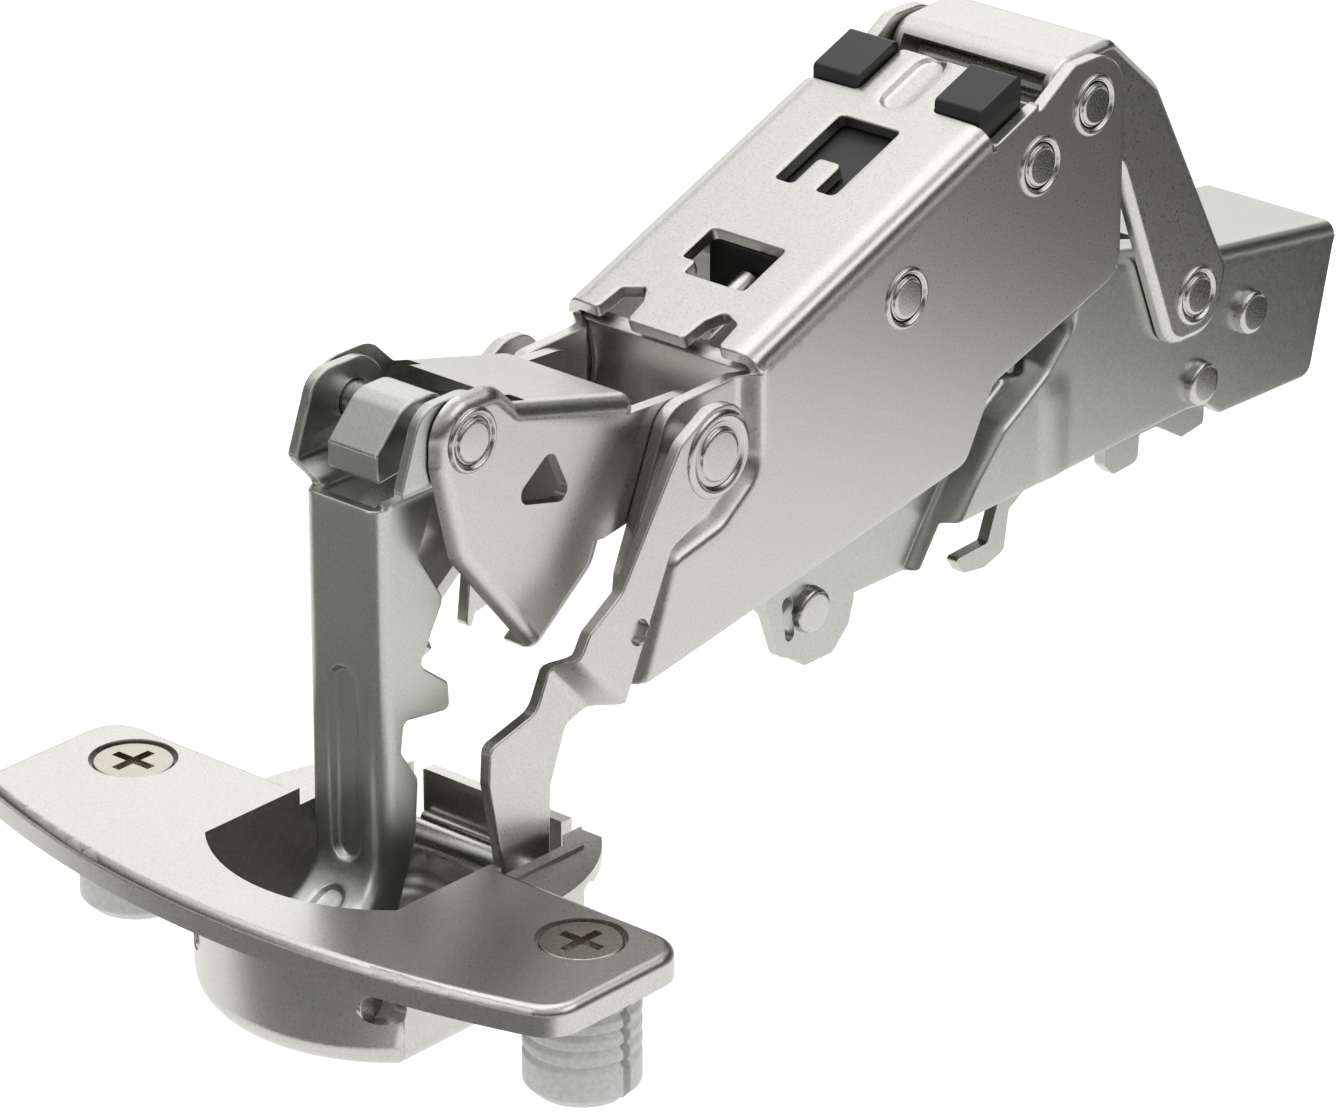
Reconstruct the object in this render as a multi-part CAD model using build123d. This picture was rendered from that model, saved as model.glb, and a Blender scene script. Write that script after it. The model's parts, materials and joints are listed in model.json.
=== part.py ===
"""Wide-angle concealed cup hinge for furniture doors, standing open at 90 degrees.

Millimetres. X runs back along the arm into the cabinet, Y along the pivot pins, Z up.
The origin is on the axis of the 35 mm cup, on the face of the door under the flange.
Every pivot pin lies along Y, so a plate is an outline in X and Z with a thickness in Y.
"""
import os
from math import atan2, cos, degrees, radians, sin, tan

from build123d import *

# Pivot centres in X and Z
CUP_FRONT_PIVOT = (-13.4, -6.1)
CUP_REAR_PIVOT = (6.2, -1.6)
KNEE_PIVOT = (1.5, 39.6)
ARM_FRONT_PIVOT = (27.2, 31.4)
ARM_REAR_PIVOT = (79.5, 48.0)
ARM_INNER_PIVOT = (71.9, 44.4)
ARM_RIVET = (53.6, 37.3)
BASE_REAR_PIVOT = (97.4, 24.1)
BASE_INNER_PIVOT = (87.9, 19.6)
BASE_RIVETS = ((107.4, 19.1), (100.1, 14.2))
CATCH_PIVOT = (46.0, 9.0)

# Clearances
RUNNING_CLEARANCE = 0.05
PLATE_GAP = 0.15
OPEN_PIVOT_CLEARANCE = 1.0

# Sheet thicknesses
ARM_SHEET = 1.3
LINK_SHEET = 1.2
REAR_LINK_SHEET = 1.4
BASE_SHEET = 1.2
CUP_SHEET = 1.2

# Half widths of the nested sheets, from the outside in
ARM_HALF_WIDTH = 11.0
ARM_INNER_HALF = ARM_HALF_WIDTH - ARM_SHEET
MAIN_LINK_HALF = ARM_HALF_WIDTH + PLATE_GAP + LINK_SHEET
MAIN_FOOT_HALF = 9.5
ARM_EAR_HALF = 9.25
REAR_LINK_HALF = ARM_INNER_HALF - PLATE_GAP
BASE_HALF_WIDTH = REAR_LINK_HALF - REAR_LINK_SHEET - PLATE_GAP
RAIL_INNER_HALF = BASE_HALF_WIDTH - BASE_SHEET
KNEE_LINK_HALF = ARM_EAR_HALF - LINK_SHEET - PLATE_GAP
FRONT_LINK_EAR_HALF = KNEE_LINK_HALF - LINK_SHEET - PLATE_GAP
FRONT_LINK_HALF = 4.2
FRONT_BASE_HALF = 5.2
INNER_LINK_HALF = FRONT_BASE_HALF - BASE_SHEET - PLATE_GAP

# Pins
PIVOT_PIN_RADIUS = 1.7
REAR_PIN_WAIST_RADIUS = 1.3
FRONT_PIN_RADIUS = 1.4
FRONT_PIN_HALF_LENGTH = 9.6
SMALL_HEAD_RADIUS = 1.85
SMALL_RING_RADIUS = 2.75
LARGE_HEAD_RADIUS = 2.3
LARGE_RING_RADIUS = 3.9
HEAD_HEIGHT = 0.35
RIVET_HEAD_RADIUS = 2.1
RIVET_HEAD_HEIGHT = 1.0

# Links
INNER_LINK_END_RADIUS = 3.7
KNEE_WEB_FRONT_X = 7.6
KNEE_RELIEF_INNER_Y = 5.0
KNEE_RELIEF_DEPTH = 1.6

# Arm
ARM_SLOPE = 20.6
ARM_TOP_POINT = (44.5, 42.1)
ARM_FRONT_X = 33.0
ARM_WEB_REAR_X = 71.0
ARM_FOLD_RADIUS = 2.0
ARM_EAR_RADIUS = 4.4
APRON_INNER_RADIUS = 8.4
APRON_ANGLES = (-30.0, 46.0)
NOTCH_CENTRE_Y = 4.9
NOTCH_WIDTH = 2.5
NOTCH_DEPTH = 5.0
LOWER_WINDOW = (39.6, 45.4, 8.4)
UPPER_WINDOW = (53.5, 62.4, 6.8)
WINDOW_TONGUE = (3.6, 2.6)

# Base
BASE_WEB_FRONT_X = 87.5
BASE_WEB_SLOT = (96.0, 4.3)
BASE_FOLD_RADIUS = 1.0
BASE_TOP = ((87.7, 30.8), (92.2, 29.8), (103.2, 26.6), (121.0, 24.0))
BASE_REAR_FOOT = (117.6, 9.5)

# Release slide
SLIDE_TRAVEL = 1.5

# Damper
DAMPER_HALF_WIDTH = 5.0
DAMPER_DEPTH = 6.0
DAMPER_LENGTH = 17.0
SHELF_REAR_X = ARM_WEB_REAR_X - 4.0
SHELF_DEPTH = 1.4
DAMPER_REAR_X = SHELF_REAR_X - 4.0
DAMPER_FRONT_X = DAMPER_REAR_X - DAMPER_LENGTH
PAD_LENGTH = 5.6
PAD_REAR_X = ARM_WEB_REAR_X - 0.2
PAD_FRONT_X = PAD_REAR_X - PAD_LENGTH
PAD_INNER_Y = 4.4
PAD_HEIGHT = 1.0

# Cup and flange
CUP_RADIUS = 17.4
CUP_DEPTH = 12.0
TRAY_REAR_X = 13.2
TRAY_HALF_WIDTH = 11.1
TRAY_CHAMFER = 3.2
TRAY_LOWERING = 1.6
LIP_TOP = 0.8
LIP_REAR_X = 12.4
FLANGE_HEIGHT = 2.6
FLANGE_HALF_LENGTH = 33.5
FLANGE_REAR_X = -0.3
FLANGE_FRONT_X = -22.2
FLANGE_END_FRONT_X = -16.6
FLANGE_CORNER_RADIUS = 3.5
FLANGE_EDGE_RADIUS = 0.9
SPRING_WIRE_RADIUS = 0.55
SPRING_HALF_LENGTH = 7.6
SPRING_Z = -3.2
SCREW_X = -5.5
SCREW_SPACING = 52.0
SCREW_HEAD_RADIUS = 3.55
SCREW_SINK = 0.35
SCREW_NECK_RADIUS = 2.4
SCREW_SHANK_RADIUS = 1.55
DOWEL_RADIUS = 5.0
DOWEL_LENGTH = 11.0
DOWEL_NECK_RADIUS = 3.8
DOWEL_BORE_DEPTH = 0.8
DOWEL_CORE_RADIUS = 2.2
DOWEL_SLIT = 0.8
DOWEL_RING_PITCH = 1.5
DOWEL_RING_DEPTH = 0.35


def outline(points):
    """Closed outline in X and Z from (x, z, corner radius) points."""
    path = [(x, z, 0) for x, z, radius in points]
    radii = [radius for x, z, radius in points]
    return FilletPolyline(*path, radius=radii, close=True)


def plate(points, inner_y, outer_y):
    """Flat plate: the outline in X and Z, from one Y to another."""
    face = Plane.XZ * make_face(outline(points))
    return Pos(0, inner_y, 0) * extrude(face, amount=outer_y - inner_y, dir=(0, 1, 0))


def disc(centre, radius, inner_y, outer_y):
    """Round plate about a pivot, from one Y to another."""
    x, z = centre
    middle = (inner_y + outer_y) / 2
    return Pos(x, middle, z) * Rot(90, 0, 0) * Cylinder(radius, outer_y - inner_y)


def both_sides(solid):
    """The solid and its mirror image across the middle of the hinge."""
    return solid + mirror(solid, about=Plane.XZ)


def hole(centre, radius, half_width=20.0):
    """Cutter along Y through both side plates."""
    return disc(centre, radius, -half_width, half_width)


def headed_pin(centre, half_width, head_radius, ring_radius, shaft_radius=PIVOT_PIN_RADIUS):
    """Riveted pin: shaft, a flat collar outside each plate and a head proud of it."""
    shaft = disc(centre, shaft_radius, -half_width - PLATE_GAP, half_width + PLATE_GAP)
    collar = disc(centre, ring_radius, half_width, half_width + HEAD_HEIGHT)
    groove = disc(centre, head_radius + 0.35, half_width + HEAD_HEIGHT / 2, half_width + 1)
    head = disc(centre, head_radius, half_width, half_width + HEAD_HEIGHT)
    return shaft + both_sides(collar - groove + head)


def raised_rivet(centre, half_width):
    """Rivet with a plain round head standing proud of the plates at both ends."""
    shaft = disc(centre, PIVOT_PIN_RADIUS, -half_width - PLATE_GAP, half_width + PLATE_GAP)
    head = disc(centre, RIVET_HEAD_RADIUS, half_width, half_width + RIVET_HEAD_HEIGHT)
    return shaft + both_sides(head)


def plain_pin(centre, half_width, radius=PIVOT_PIN_RADIUS):
    """Plain pin whose ends lie flush inside its plates."""
    return disc(centre, radius, -half_width, half_width)


def arm_top(x):
    """Height of the arm's top face."""
    return ARM_TOP_POINT[1] + (x - ARM_TOP_POINT[0]) * tan(radians(ARM_SLOPE))


def make_arm():
    """Large folded channel with an apron behind its front edge and inset front ears."""
    ear_x, ear_z = ARM_REAR_PIVOT
    ear = ARM_EAR_RADIUS
    sheet_drop = ARM_SHEET / cos(radians(ARM_SLOPE))
    front_line = ((18.9, 12.1), (22.7, 23.1), (34.0, 25.3))
    side = [
        (ARM_FRONT_X, arm_top(ARM_FRONT_X), 0),
        (ARM_WEB_REAR_X, arm_top(ARM_WEB_REAR_X), 0),
        (ear_x - 3.0, ear_z + ear, 1.5),
        (ear_x + ear, ear_z + ear, ear - 0.1),
        (ear_x + ear, 30.8, 3.0),
        (66.0, 25.4, 2.0),
        (62.3, 18.9, 2.0),
        (*front_line[0], 0.4),
        (*front_line[1], 2.0),
        (*front_line[2], 3.0),
    ]
    body = plate(side, -ARM_HALF_WIDTH, ARM_HALF_WIDTH)
    folds = [
        edge
        for edge in body.edges().filter_by(GeomType.LINE)
        if abs(abs(edge.center().Y) - ARM_HALF_WIDTH) < 0.01
        and edge.center().Z > arm_top(edge.center().X) - 0.1
        and edge.length > 20
    ]
    body = fillet(folds, ARM_FOLD_RADIUS)
    cavity = plate(
        [
            (0, 0, 0),
            (95, 0, 0),
            (95, 60, 0),
            (ARM_WEB_REAR_X - 0.6, 60, 0),
            (ARM_WEB_REAR_X - 0.6, arm_top(ARM_WEB_REAR_X - 0.6) - sheet_drop, 0),
            (0, arm_top(0) - sheet_drop, 0),
        ],
        -ARM_INNER_HALF,
        ARM_INNER_HALF,
    )
    body -= cavity
    # The side is stepped inwards at the front, and the main link lies in the step.
    ear_plate = plate(
        [
            (18.4, 15.0, 0.3),
            (20.6, 15.0, 0.3),
            (24.0, 22.4, 1.0),
            (35.0, 24.6, 1.0),
            (35.0, 33.5, 0.5),
            (31.5, 35.8, 2.0),
            (24.0, 35.8, 3.0),
            (18.4, 22.0, 0.5),
        ],
        ARM_EAR_HALF - LINK_SHEET,
        ARM_EAR_HALF,
    )
    step_line = [
        (23.0, 22.8, 2.0),
        (34.6, 25.0, 2.0),
        (34.6, 34.5, 0.5),
        (33.2, 34.5, 0.3),
        (32.7, 27.0, 3.2),
        (21.5, 24.3, 3.2),
    ]
    low_step = [(17.6, 12.1, 0.3), (19.2, 12.1, 0.1)]
    deep_step = [(18.7, 15.0, 0.3), (20.3, 15.0, 0.1)]
    step = plate(low_step + step_line, ARM_INNER_HALF - 0.1, ARM_HALF_WIDTH - 0.3)
    step += plate(deep_step + step_line, ARM_EAR_HALF - LINK_SHEET, ARM_HALF_WIDTH - 0.3)
    body += both_sides(ear_plate + step)
    # Apron: hollow sheet about the front pivot, behind the notched front edge.
    centre_x, centre_z = ARM_FRONT_PIVOT
    low, high = APRON_ANGLES
    outer = APRON_INNER_RADIUS + ARM_SHEET
    arc_points = [(outer, low), (outer, (low + high) / 2), (outer, high)]
    back_points = [(APRON_INNER_RADIUS, angle) for radius, angle in reversed(arc_points)]
    p = [
        (centre_x + radius * cos(radians(angle)), centre_z + radius * sin(radians(angle)), 0)
        for radius, angle in arc_points + back_points
    ]
    loop = [
        ThreePointArc(p[0], p[1], p[2]),
        Line(p[2], p[3]),
        ThreePointArc(p[3], p[4], p[5]),
        Line(p[5], p[0]),
    ]
    apron = extrude(Plane.XZ * make_face(loop), amount=ARM_INNER_HALF, both=True)
    body += apron
    for sign in (-1, 1):
        notch = Pos(ARM_FRONT_X + NOTCH_DEPTH / 2 - 1.0, sign * NOTCH_CENTRE_Y, 38)
        body -= notch * Box(NOTCH_DEPTH + 2.0, NOTCH_WIDTH, 6)
    for rear, front, width in ((LOWER_WINDOW[0], LOWER_WINDOW[1], LOWER_WINDOW[2]),
                               (UPPER_WINDOW[0], UPPER_WINDOW[1], UPPER_WINDOW[2])):
        middle = (rear + front) / 2
        body -= Pos(middle, 0, arm_top(middle)) * Box(front - rear, width, 7)
    tongue_length, tongue_width = WINDOW_TONGUE
    tongue_x = UPPER_WINDOW[0] + tongue_length / 2
    tongue = Pos(tongue_x, 0, arm_top(tongue_x) - sheet_drop / 2) * Rot(0, -ARM_SLOPE, 0)
    body += tongue * Box(tongue_length + 1.5, tongue_width, ARM_SHEET)
    for sign in (-1, 1):
        width = ARM_HALF_WIDTH - PAD_INNER_Y + PLATE_GAP
        length = ARM_WEB_REAR_X - PAD_FRONT_X + PLATE_GAP
        middle_x = ARM_WEB_REAR_X - length / 2
        corner = Pos(middle_x, sign * (ARM_HALF_WIDTH - width / 2), arm_top(middle_x))
        body -= corner * Box(length, width, 6.0)
    for centre in (ARM_REAR_PIVOT, ARM_INNER_PIVOT, ARM_RIVET, ARM_FRONT_PIVOT):
        body -= hole(centre, PIVOT_PIN_RADIUS)
    return body


def make_main_link():
    """One of the two stepped plates from the arm's front pin down to the rear cup pin."""
    x, z = ARM_FRONT_PIVOT
    foot_x, foot_z = CUP_REAR_PIVOT
    upper = plate(
        [
            (x - 1.0, z + 4.3, 2.0),
            (x + 3.2, z + 4.3, 3.2),
            (x + 4.4, z - 2.0, 4.0),
            (26.0, 26.4, 1.5),
            (21.3, 24.6, 1.5),
            (15.4, 12.3, 0.3),
            (12.0, 12.4, 0.3),
            (11.0, 20.2, 0.5),
            (15.0, 22.6, 2.0),
            (22.6, 33.8, 3.0),
        ],
        MAIN_LINK_HALF - LINK_SHEET,
        MAIN_LINK_HALF,
    )
    foot = plate(
        [
            (11.6, 18.6, 0.5),
            (14.0, 12.4, 0.5),
            (11.0, 11.0, 1.0),
            (9.0, 6.0, 2.0),
            (foot_x + 2.7, foot_z + 2.0, 1.5),
            (foot_x + 2.7, foot_z - 2.7, 2.6),
            (foot_x - 2.9, foot_z - 2.7, 2.6),
            (foot_x - 3.4, foot_z + 3.0, 2.0),
            (1.4, 8.6, 0.8),
            (1.6, 12.0, 1.0),
            (7.4, 13.4, 2.0),
            (9.6, 18.0, 1.0),
        ],
        MAIN_FOOT_HALF - LINK_SHEET,
        MAIN_FOOT_HALF,
    )
    step = plate(
        [(10.4, 17.2, 0.3), (14.6, 12.4, 0.3), (12.6, 12.4, 0.3), (9.4, 16.0, 0.3)],
        MAIN_FOOT_HALF - LINK_SHEET,
        MAIN_LINK_HALF,
    )
    foot += step
    link = upper + foot
    link -= hole(ARM_FRONT_PIVOT, PIVOT_PIN_RADIUS + RUNNING_CLEARANCE)
    link -= hole(CUP_REAR_PIVOT, PIVOT_PIN_RADIUS + RUNNING_CLEARANCE)
    link -= hole((17.2, 18.3), 1.1)
    return link


def make_knee_link():
    """Box-shaped link: top and back web between two sides with triangle windows."""
    knee_x, knee_z = KNEE_PIVOT
    pivot_x, pivot_z = ARM_FRONT_PIVOT
    inner = KNEE_LINK_HALF - LINK_SHEET
    side = [
        (knee_x - 3.9, knee_z + 3.9, 3.8),
        (knee_x + 3.4, knee_z + 3.9, 3.0),
        (7.6, 40.9, 1.0),
        (22.6, 37.0, 1.2),
        (16.9, 23.0, 3.5),
        (9.4, 17.4, 1.0),
        (-0.3, 29.0, 2.0),
        (-2.6, 38.0, 2.0),
    ]
    block = plate(side, -KNEE_LINK_HALF, KNEE_LINK_HALF)
    corner = [
        edge
        for edge in block.edges().filter_by(GeomType.LINE)
        if abs(abs(edge.center().Y) - KNEE_LINK_HALF) < 0.01
        and edge.center().X > 12
        and edge.length > 5
    ]
    block = fillet(corner, 1.6)
    room = plate(
        [
            (-8, 50, 0),
            (KNEE_WEB_FRONT_X, 50, 0),
            (KNEE_WEB_FRONT_X, 39.6, 0),
            (21.2, 35.9, 0.8),
            (15.9, 23.7, 2.5),
            (8.6, 18.4, 0),
            (-8, 10, 0),
        ],
        -inner,
        inner,
    )
    block -= room
    ear = plate(
        [
            (19.0, 36.0, 0.5),
            (pivot_x + 3.9, pivot_z + 3.9, 3.8),
            (pivot_x + 3.9, pivot_z - 3.9, 3.8),
            (17.5, 25.5, 0.5),
            (14.0, 26.0, 0.3),
            (14.0, 36.0, 0.3),
        ],
        inner,
        KNEE_LINK_HALF,
    )
    block += both_sides(ear)
    window = plate(
        [(11.2, 35.9, 1.0), (6.0, 32.2, 1.0), (13.9, 30.2, 1.0)],
        -KNEE_LINK_HALF - 1,
        KNEE_LINK_HALF + 1,
    )
    block -= window
    # The web's corners are cut back for the front link's ears, and its foot for the lobes.
    relief_width = inner - KNEE_RELIEF_INNER_Y
    for sign in (-1, 1):
        relief = Pos(KNEE_WEB_FRONT_X, sign * (inner - relief_width / 2), 40.5)
        block -= relief * Box(2 * KNEE_RELIEF_DEPTH, relief_width, 6)
    block -= Pos(11.0, 0, 16.4) * Box(12.4, 2 * FRONT_LINK_HALF + 0.8, 12.2)
    block -= hole(ARM_FRONT_PIVOT, PIVOT_PIN_RADIUS + RUNNING_CLEARANCE)
    block -= hole(KNEE_PIVOT, PIVOT_PIN_RADIUS)
    return block


def make_front_link():
    """Deep channel from the front cup pin up to the knee, with ears set outwards."""
    foot_x, foot_z = CUP_FRONT_PIVOT
    knee_x, knee_z = KNEE_PIVOT
    inner = FRONT_LINK_HALF - LINK_SHEET
    side = [
        (-6.2, 37.6, 0.5),
        (-6.2, -0.4, 4.5),
        (foot_x - 2.0, foot_z + 1.5, 1.95),
        (foot_x - 2.0, foot_z - 2.2, 1.9),
        (foot_x + 2.8, foot_z - 2.2, 2.0),
        (-4.6, -3.4, 3.0),
        (-2.0, 3.6, 2.0),
        (-1.6, 8.8, 1.2),
        (-3.6, 11.8, 0.8),
        (-3.2, 14.6, 0.6),
        (2.4, 13.8, 0.6),
        (2.2, 16.4, 0.6),
        (-1.2, 19.0, 0.8),
        (1.8, 24.2, 1.2),
        (-1.2, 29.0, 1.0),
        (-0.2, 36.0, 1.0),
        (-2.0, 38.0, 0.5),
    ]
    link = plate(side, -FRONT_LINK_HALF, FRONT_LINK_HALF)
    web_edges = [
        edge
        for edge in link.edges().filter_by(GeomType.LINE)
        if abs(abs(edge.center().Y) - FRONT_LINK_HALF) < 0.01
        and abs(edge.center().X + 6.2) < 0.05
    ]
    link = fillet(web_edges, 1.1)
    room = plate(
        [
            (-5.0, 45, 0),
            (-5.0, -1.2, 3.3),
            (foot_x - 0.8, foot_z + 0.6, 1.0),
            (foot_x - 0.8, -20, 0),
            (20, -20, 0),
            (20, 45, 0),
        ],
        -inner,
        inner,
    )
    link -= room
    ear = plate(
        [
            (-5.6, 37.4, 0.5),
            (knee_x - 3.7, knee_z + 3.7, 3.0),
            (knee_x + 3.7, knee_z + 3.7, 3.6),
            (knee_x + 3.7, knee_z - 3.7, 3.6),
            (0.6, 33.0, 1.0),
            (-5.6, 32.4, 0.5),
        ],
        FRONT_LINK_EAR_HALF - LINK_SHEET,
        FRONT_LINK_EAR_HALF,
    )
    bridge = plate(
        [(-5.8, 37.4, 0.5), (-1.6, 37.4, 0.5), (-1.6, 32.4, 0.5), (-5.8, 32.4, 0.5)],
        inner,
        FRONT_LINK_EAR_HALF,
    )
    link += both_sides(ear + bridge)
    link -= hole(CUP_FRONT_PIVOT, FRONT_PIN_RADIUS + RUNNING_CLEARANCE)
    link -= hole(KNEE_PIVOT, PIVOT_PIN_RADIUS)
    return link


def make_cup_pin_rear():
    """Rear cup pin, thinner between the main links' feet."""
    middle = plain_pin(CUP_REAR_PIVOT, MAIN_FOOT_HALF, REAR_PIN_WAIST_RADIUS)
    end = disc(CUP_REAR_PIVOT, PIVOT_PIN_RADIUS, MAIN_FOOT_HALF - LINK_SHEET - PLATE_GAP,
               TRAY_HALF_WIDTH + CUP_SHEET)
    return middle + both_sides(end)


def make_knee_rod():
    """Rod between the front link's ears, in line with the knee pin's two ends."""
    return plain_pin(KNEE_PIVOT, FRONT_LINK_EAR_HALF)


def make_knee_block():
    """Small stop block hung on the knee rod between the ears."""
    half = FRONT_LINK_HALF - LINK_SHEET - PLATE_GAP
    x, z = KNEE_PIVOT
    block = plate(
        [
            (x - 2.6, z + 2.6, 2.4),
            (x + 2.6, z + 2.6, 2.4),
            (x + 2.6, z - 2.6, 2.4),
            (-4.6, 36.0, 0.5),
            (-4.6, 38.6, 0.5),
        ],
        -half,
        half,
    )
    return block - hole(KNEE_PIVOT, PIVOT_PIN_RADIUS)


def make_knee_pin_end(sign):
    """Riveted end of the knee pin in one side of the knee link."""
    outer = KNEE_LINK_HALF
    shaft = disc(KNEE_PIVOT, PIVOT_PIN_RADIUS, outer - LINK_SHEET, outer + PLATE_GAP)
    collar = disc(KNEE_PIVOT, 3.2, outer, outer + HEAD_HEIGHT)
    groove = disc(KNEE_PIVOT, SMALL_HEAD_RADIUS + 0.35, outer + HEAD_HEIGHT / 2, outer + 1)
    head = disc(KNEE_PIVOT, SMALL_HEAD_RADIUS, outer, outer + HEAD_HEIGHT)
    end = shaft + collar - groove + head
    return end if sign > 0 else mirror(end, about=Plane.XZ)


def make_rear_link():
    """Channel of two plates with a rolled web, from the arm's rear to the base."""
    top_x, top_z = ARM_REAR_PIVOT
    low_x, low_z = BASE_REAR_PIVOT
    inner = REAR_LINK_HALF - REAR_LINK_SHEET
    side = [
        (top_x - 4.0, top_z + 4.2, 3.0),
        (top_x + 4.6, top_z + 4.6, 2.0),
        (90.9, 46.6, 4.0),
        (low_x + 4.9, low_z + 1.6, 2.0),
        (low_x + 3.6, low_z - 4.4, 4.0),
        (low_x - 3.6, low_z - 4.4, 3.0),
        (85.4, 40.2, 3.0),
        (top_x - 4.0, top_z - 4.2, 3.6),
    ]
    link = plate(side, -REAR_LINK_HALF, REAR_LINK_HALF)
    web_edges = [
        edge
        for edge in link.edges()
        if abs(abs(edge.center().Y) - REAR_LINK_HALF) < 0.01
        and edge.center().Z > 44
        and edge.center().X > top_x
    ]
    link = fillet(web_edges, 0.9)
    room = plate(
        [
            (60, top_z + 2.9, 0),
            (top_x + 3.6, top_z + 3.2, 2.0),
            (89.0, 46.0, 2.6),
            (92.0, 41.0, 0),
            (110, 50, 0),
            (110, 0, 0),
            (60, 0, 0),
        ],
        -inner,
        inner,
    )
    link -= room
    link -= hole(ARM_REAR_PIVOT, PIVOT_PIN_RADIUS + RUNNING_CLEARANCE)
    link -= hole(BASE_REAR_PIVOT, PIVOT_PIN_RADIUS + RUNNING_CLEARANCE)
    return link


def make_inner_link():
    """Second link between base and arm, inside the base channel."""
    top_x, top_z = ARM_INNER_PIVOT
    low_x, low_z = BASE_INNER_PIVOT
    turn = degrees(atan2(top_z - low_z, top_x - low_x))
    length = ((top_x - low_x) ** 2 + (top_z - low_z) ** 2) ** 0.5
    bar = SlotCenterToCenter(length, 2 * INNER_LINK_END_RADIUS)
    middle = ((top_x + low_x) / 2, (top_z + low_z) / 2)
    face = Plane.XZ * Pos(*middle) * Rot(0, 0, turn) * bar
    side = Pos(0, INNER_LINK_HALF - LINK_SHEET, 0) * extrude(face, LINK_SHEET, dir=(0, 1, 0))
    link = both_sides(side)
    web_centre = Plane.XZ * Pos(*middle) * Rot(0, 0, turn) * Pos(0, -2.6)
    web = web_centre * Box(length - 9, 1.2, 2 * INNER_LINK_HALF)
    link += web
    link -= hole(BASE_INNER_PIVOT, PIVOT_PIN_RADIUS + RUNNING_CLEARANCE)
    link -= hole(ARM_INNER_PIVOT, PIVOT_PIN_RADIUS + OPEN_PIVOT_CLEARANCE)
    return link


def make_base_rail():
    """Folded mounting arm: a tall box at the rear, stepped in under the arm in front."""
    foot_x, foot_z = BASE_REAR_FOOT
    rear = [
        (*BASE_TOP[3], 0.6),
        (*BASE_TOP[2], 6.0),
        (*BASE_TOP[1], 4.0),
        (*BASE_TOP[0], 1.5),
        (81.0, 26.6, 2.0),
        (78.6, 22.8, 2.0),
        (72.0, 19.0, 2.0),
        (64.4, 11.2, 0.5),
        (98.6, 11.9, 1.5),
        (101.4, 11.5, 1.5),
        (103.6, 9.9, 1.5),
        (foot_x, foot_z, 1.5),
    ]
    front = [
        (76.0, 21.6, 1.0),
        (42.0, 20.0, 3.0),
        (41.0, 9.0, 2.0),
        (52.0, 7.4, 0.5),
        (62.0, 7.2, 1.0),
        (74.0, 16.0, 1.0),
    ]
    side = plate(front, FRONT_BASE_HALF - BASE_SHEET, FRONT_BASE_HALF)
    side += plate(
        [
            (80.2, 23.2, 0.3),
            (78.8, 24.2, 0.3),
            (72.6, 20.0, 1.0),
            (61.4, 8.0, 0.3),
            (63.4, 7.6, 0.3),
            (74.4, 17.8, 1.0),
        ],
        FRONT_BASE_HALF - BASE_SHEET,
        BASE_HALF_WIDTH,
    )
    box = plate(rear, -BASE_HALF_WIDTH, BASE_HALF_WIDTH)
    folds = [
        edge
        for edge in box.edges()
        if abs(abs(edge.center().Y) - BASE_HALF_WIDTH) < 0.01
        and edge.center().X > BASE_WEB_FRONT_X + 2.0
        and edge.center().Z > BASE_TOP[3][1]
    ]
    box = fillet(folds, BASE_FOLD_RADIUS)
    under = [(x, z - BASE_SHEET, 0) for x, z in BASE_TOP[1:3]]
    room = plate(
        [
            (BASE_TOP[3][0] + 9.0, BASE_TOP[3][1] - BASE_SHEET - 1.3, 0),
            *reversed(under),
            (BASE_WEB_FRONT_X, BASE_TOP[0][1] - BASE_SHEET, 0),
            (BASE_WEB_FRONT_X, 40.0, 0),
            (40.0, 40.0, 0),
            (40.0, 0, 0),
            (130.0, 0, 0),
        ],
        -RAIL_INNER_HALF,
        RAIL_INNER_HALF,
    )
    slot_rear_x, slot_half = BASE_WEB_SLOT
    slot = Pos(slot_rear_x - 10.0, 0, 29.0) * Box(20.0, 2 * slot_half, 10.0)
    rail = both_sides(side) + (box - room - slot)
    rail += plate(
        [(44.0, 20.0, 0.5), (62.0, 21.1, 0.5), (62.0, 19.9, 0.5), (44.0, 18.8, 0.5)],
        -FRONT_BASE_HALF + 0.5,
        FRONT_BASE_HALF - 0.5,
    )
    for centre in (BASE_REAR_PIVOT, BASE_INNER_PIVOT, *BASE_RIVETS, CATCH_PIVOT):
        rail -= hole(centre, PIVOT_PIN_RADIUS)
    return rail


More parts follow.
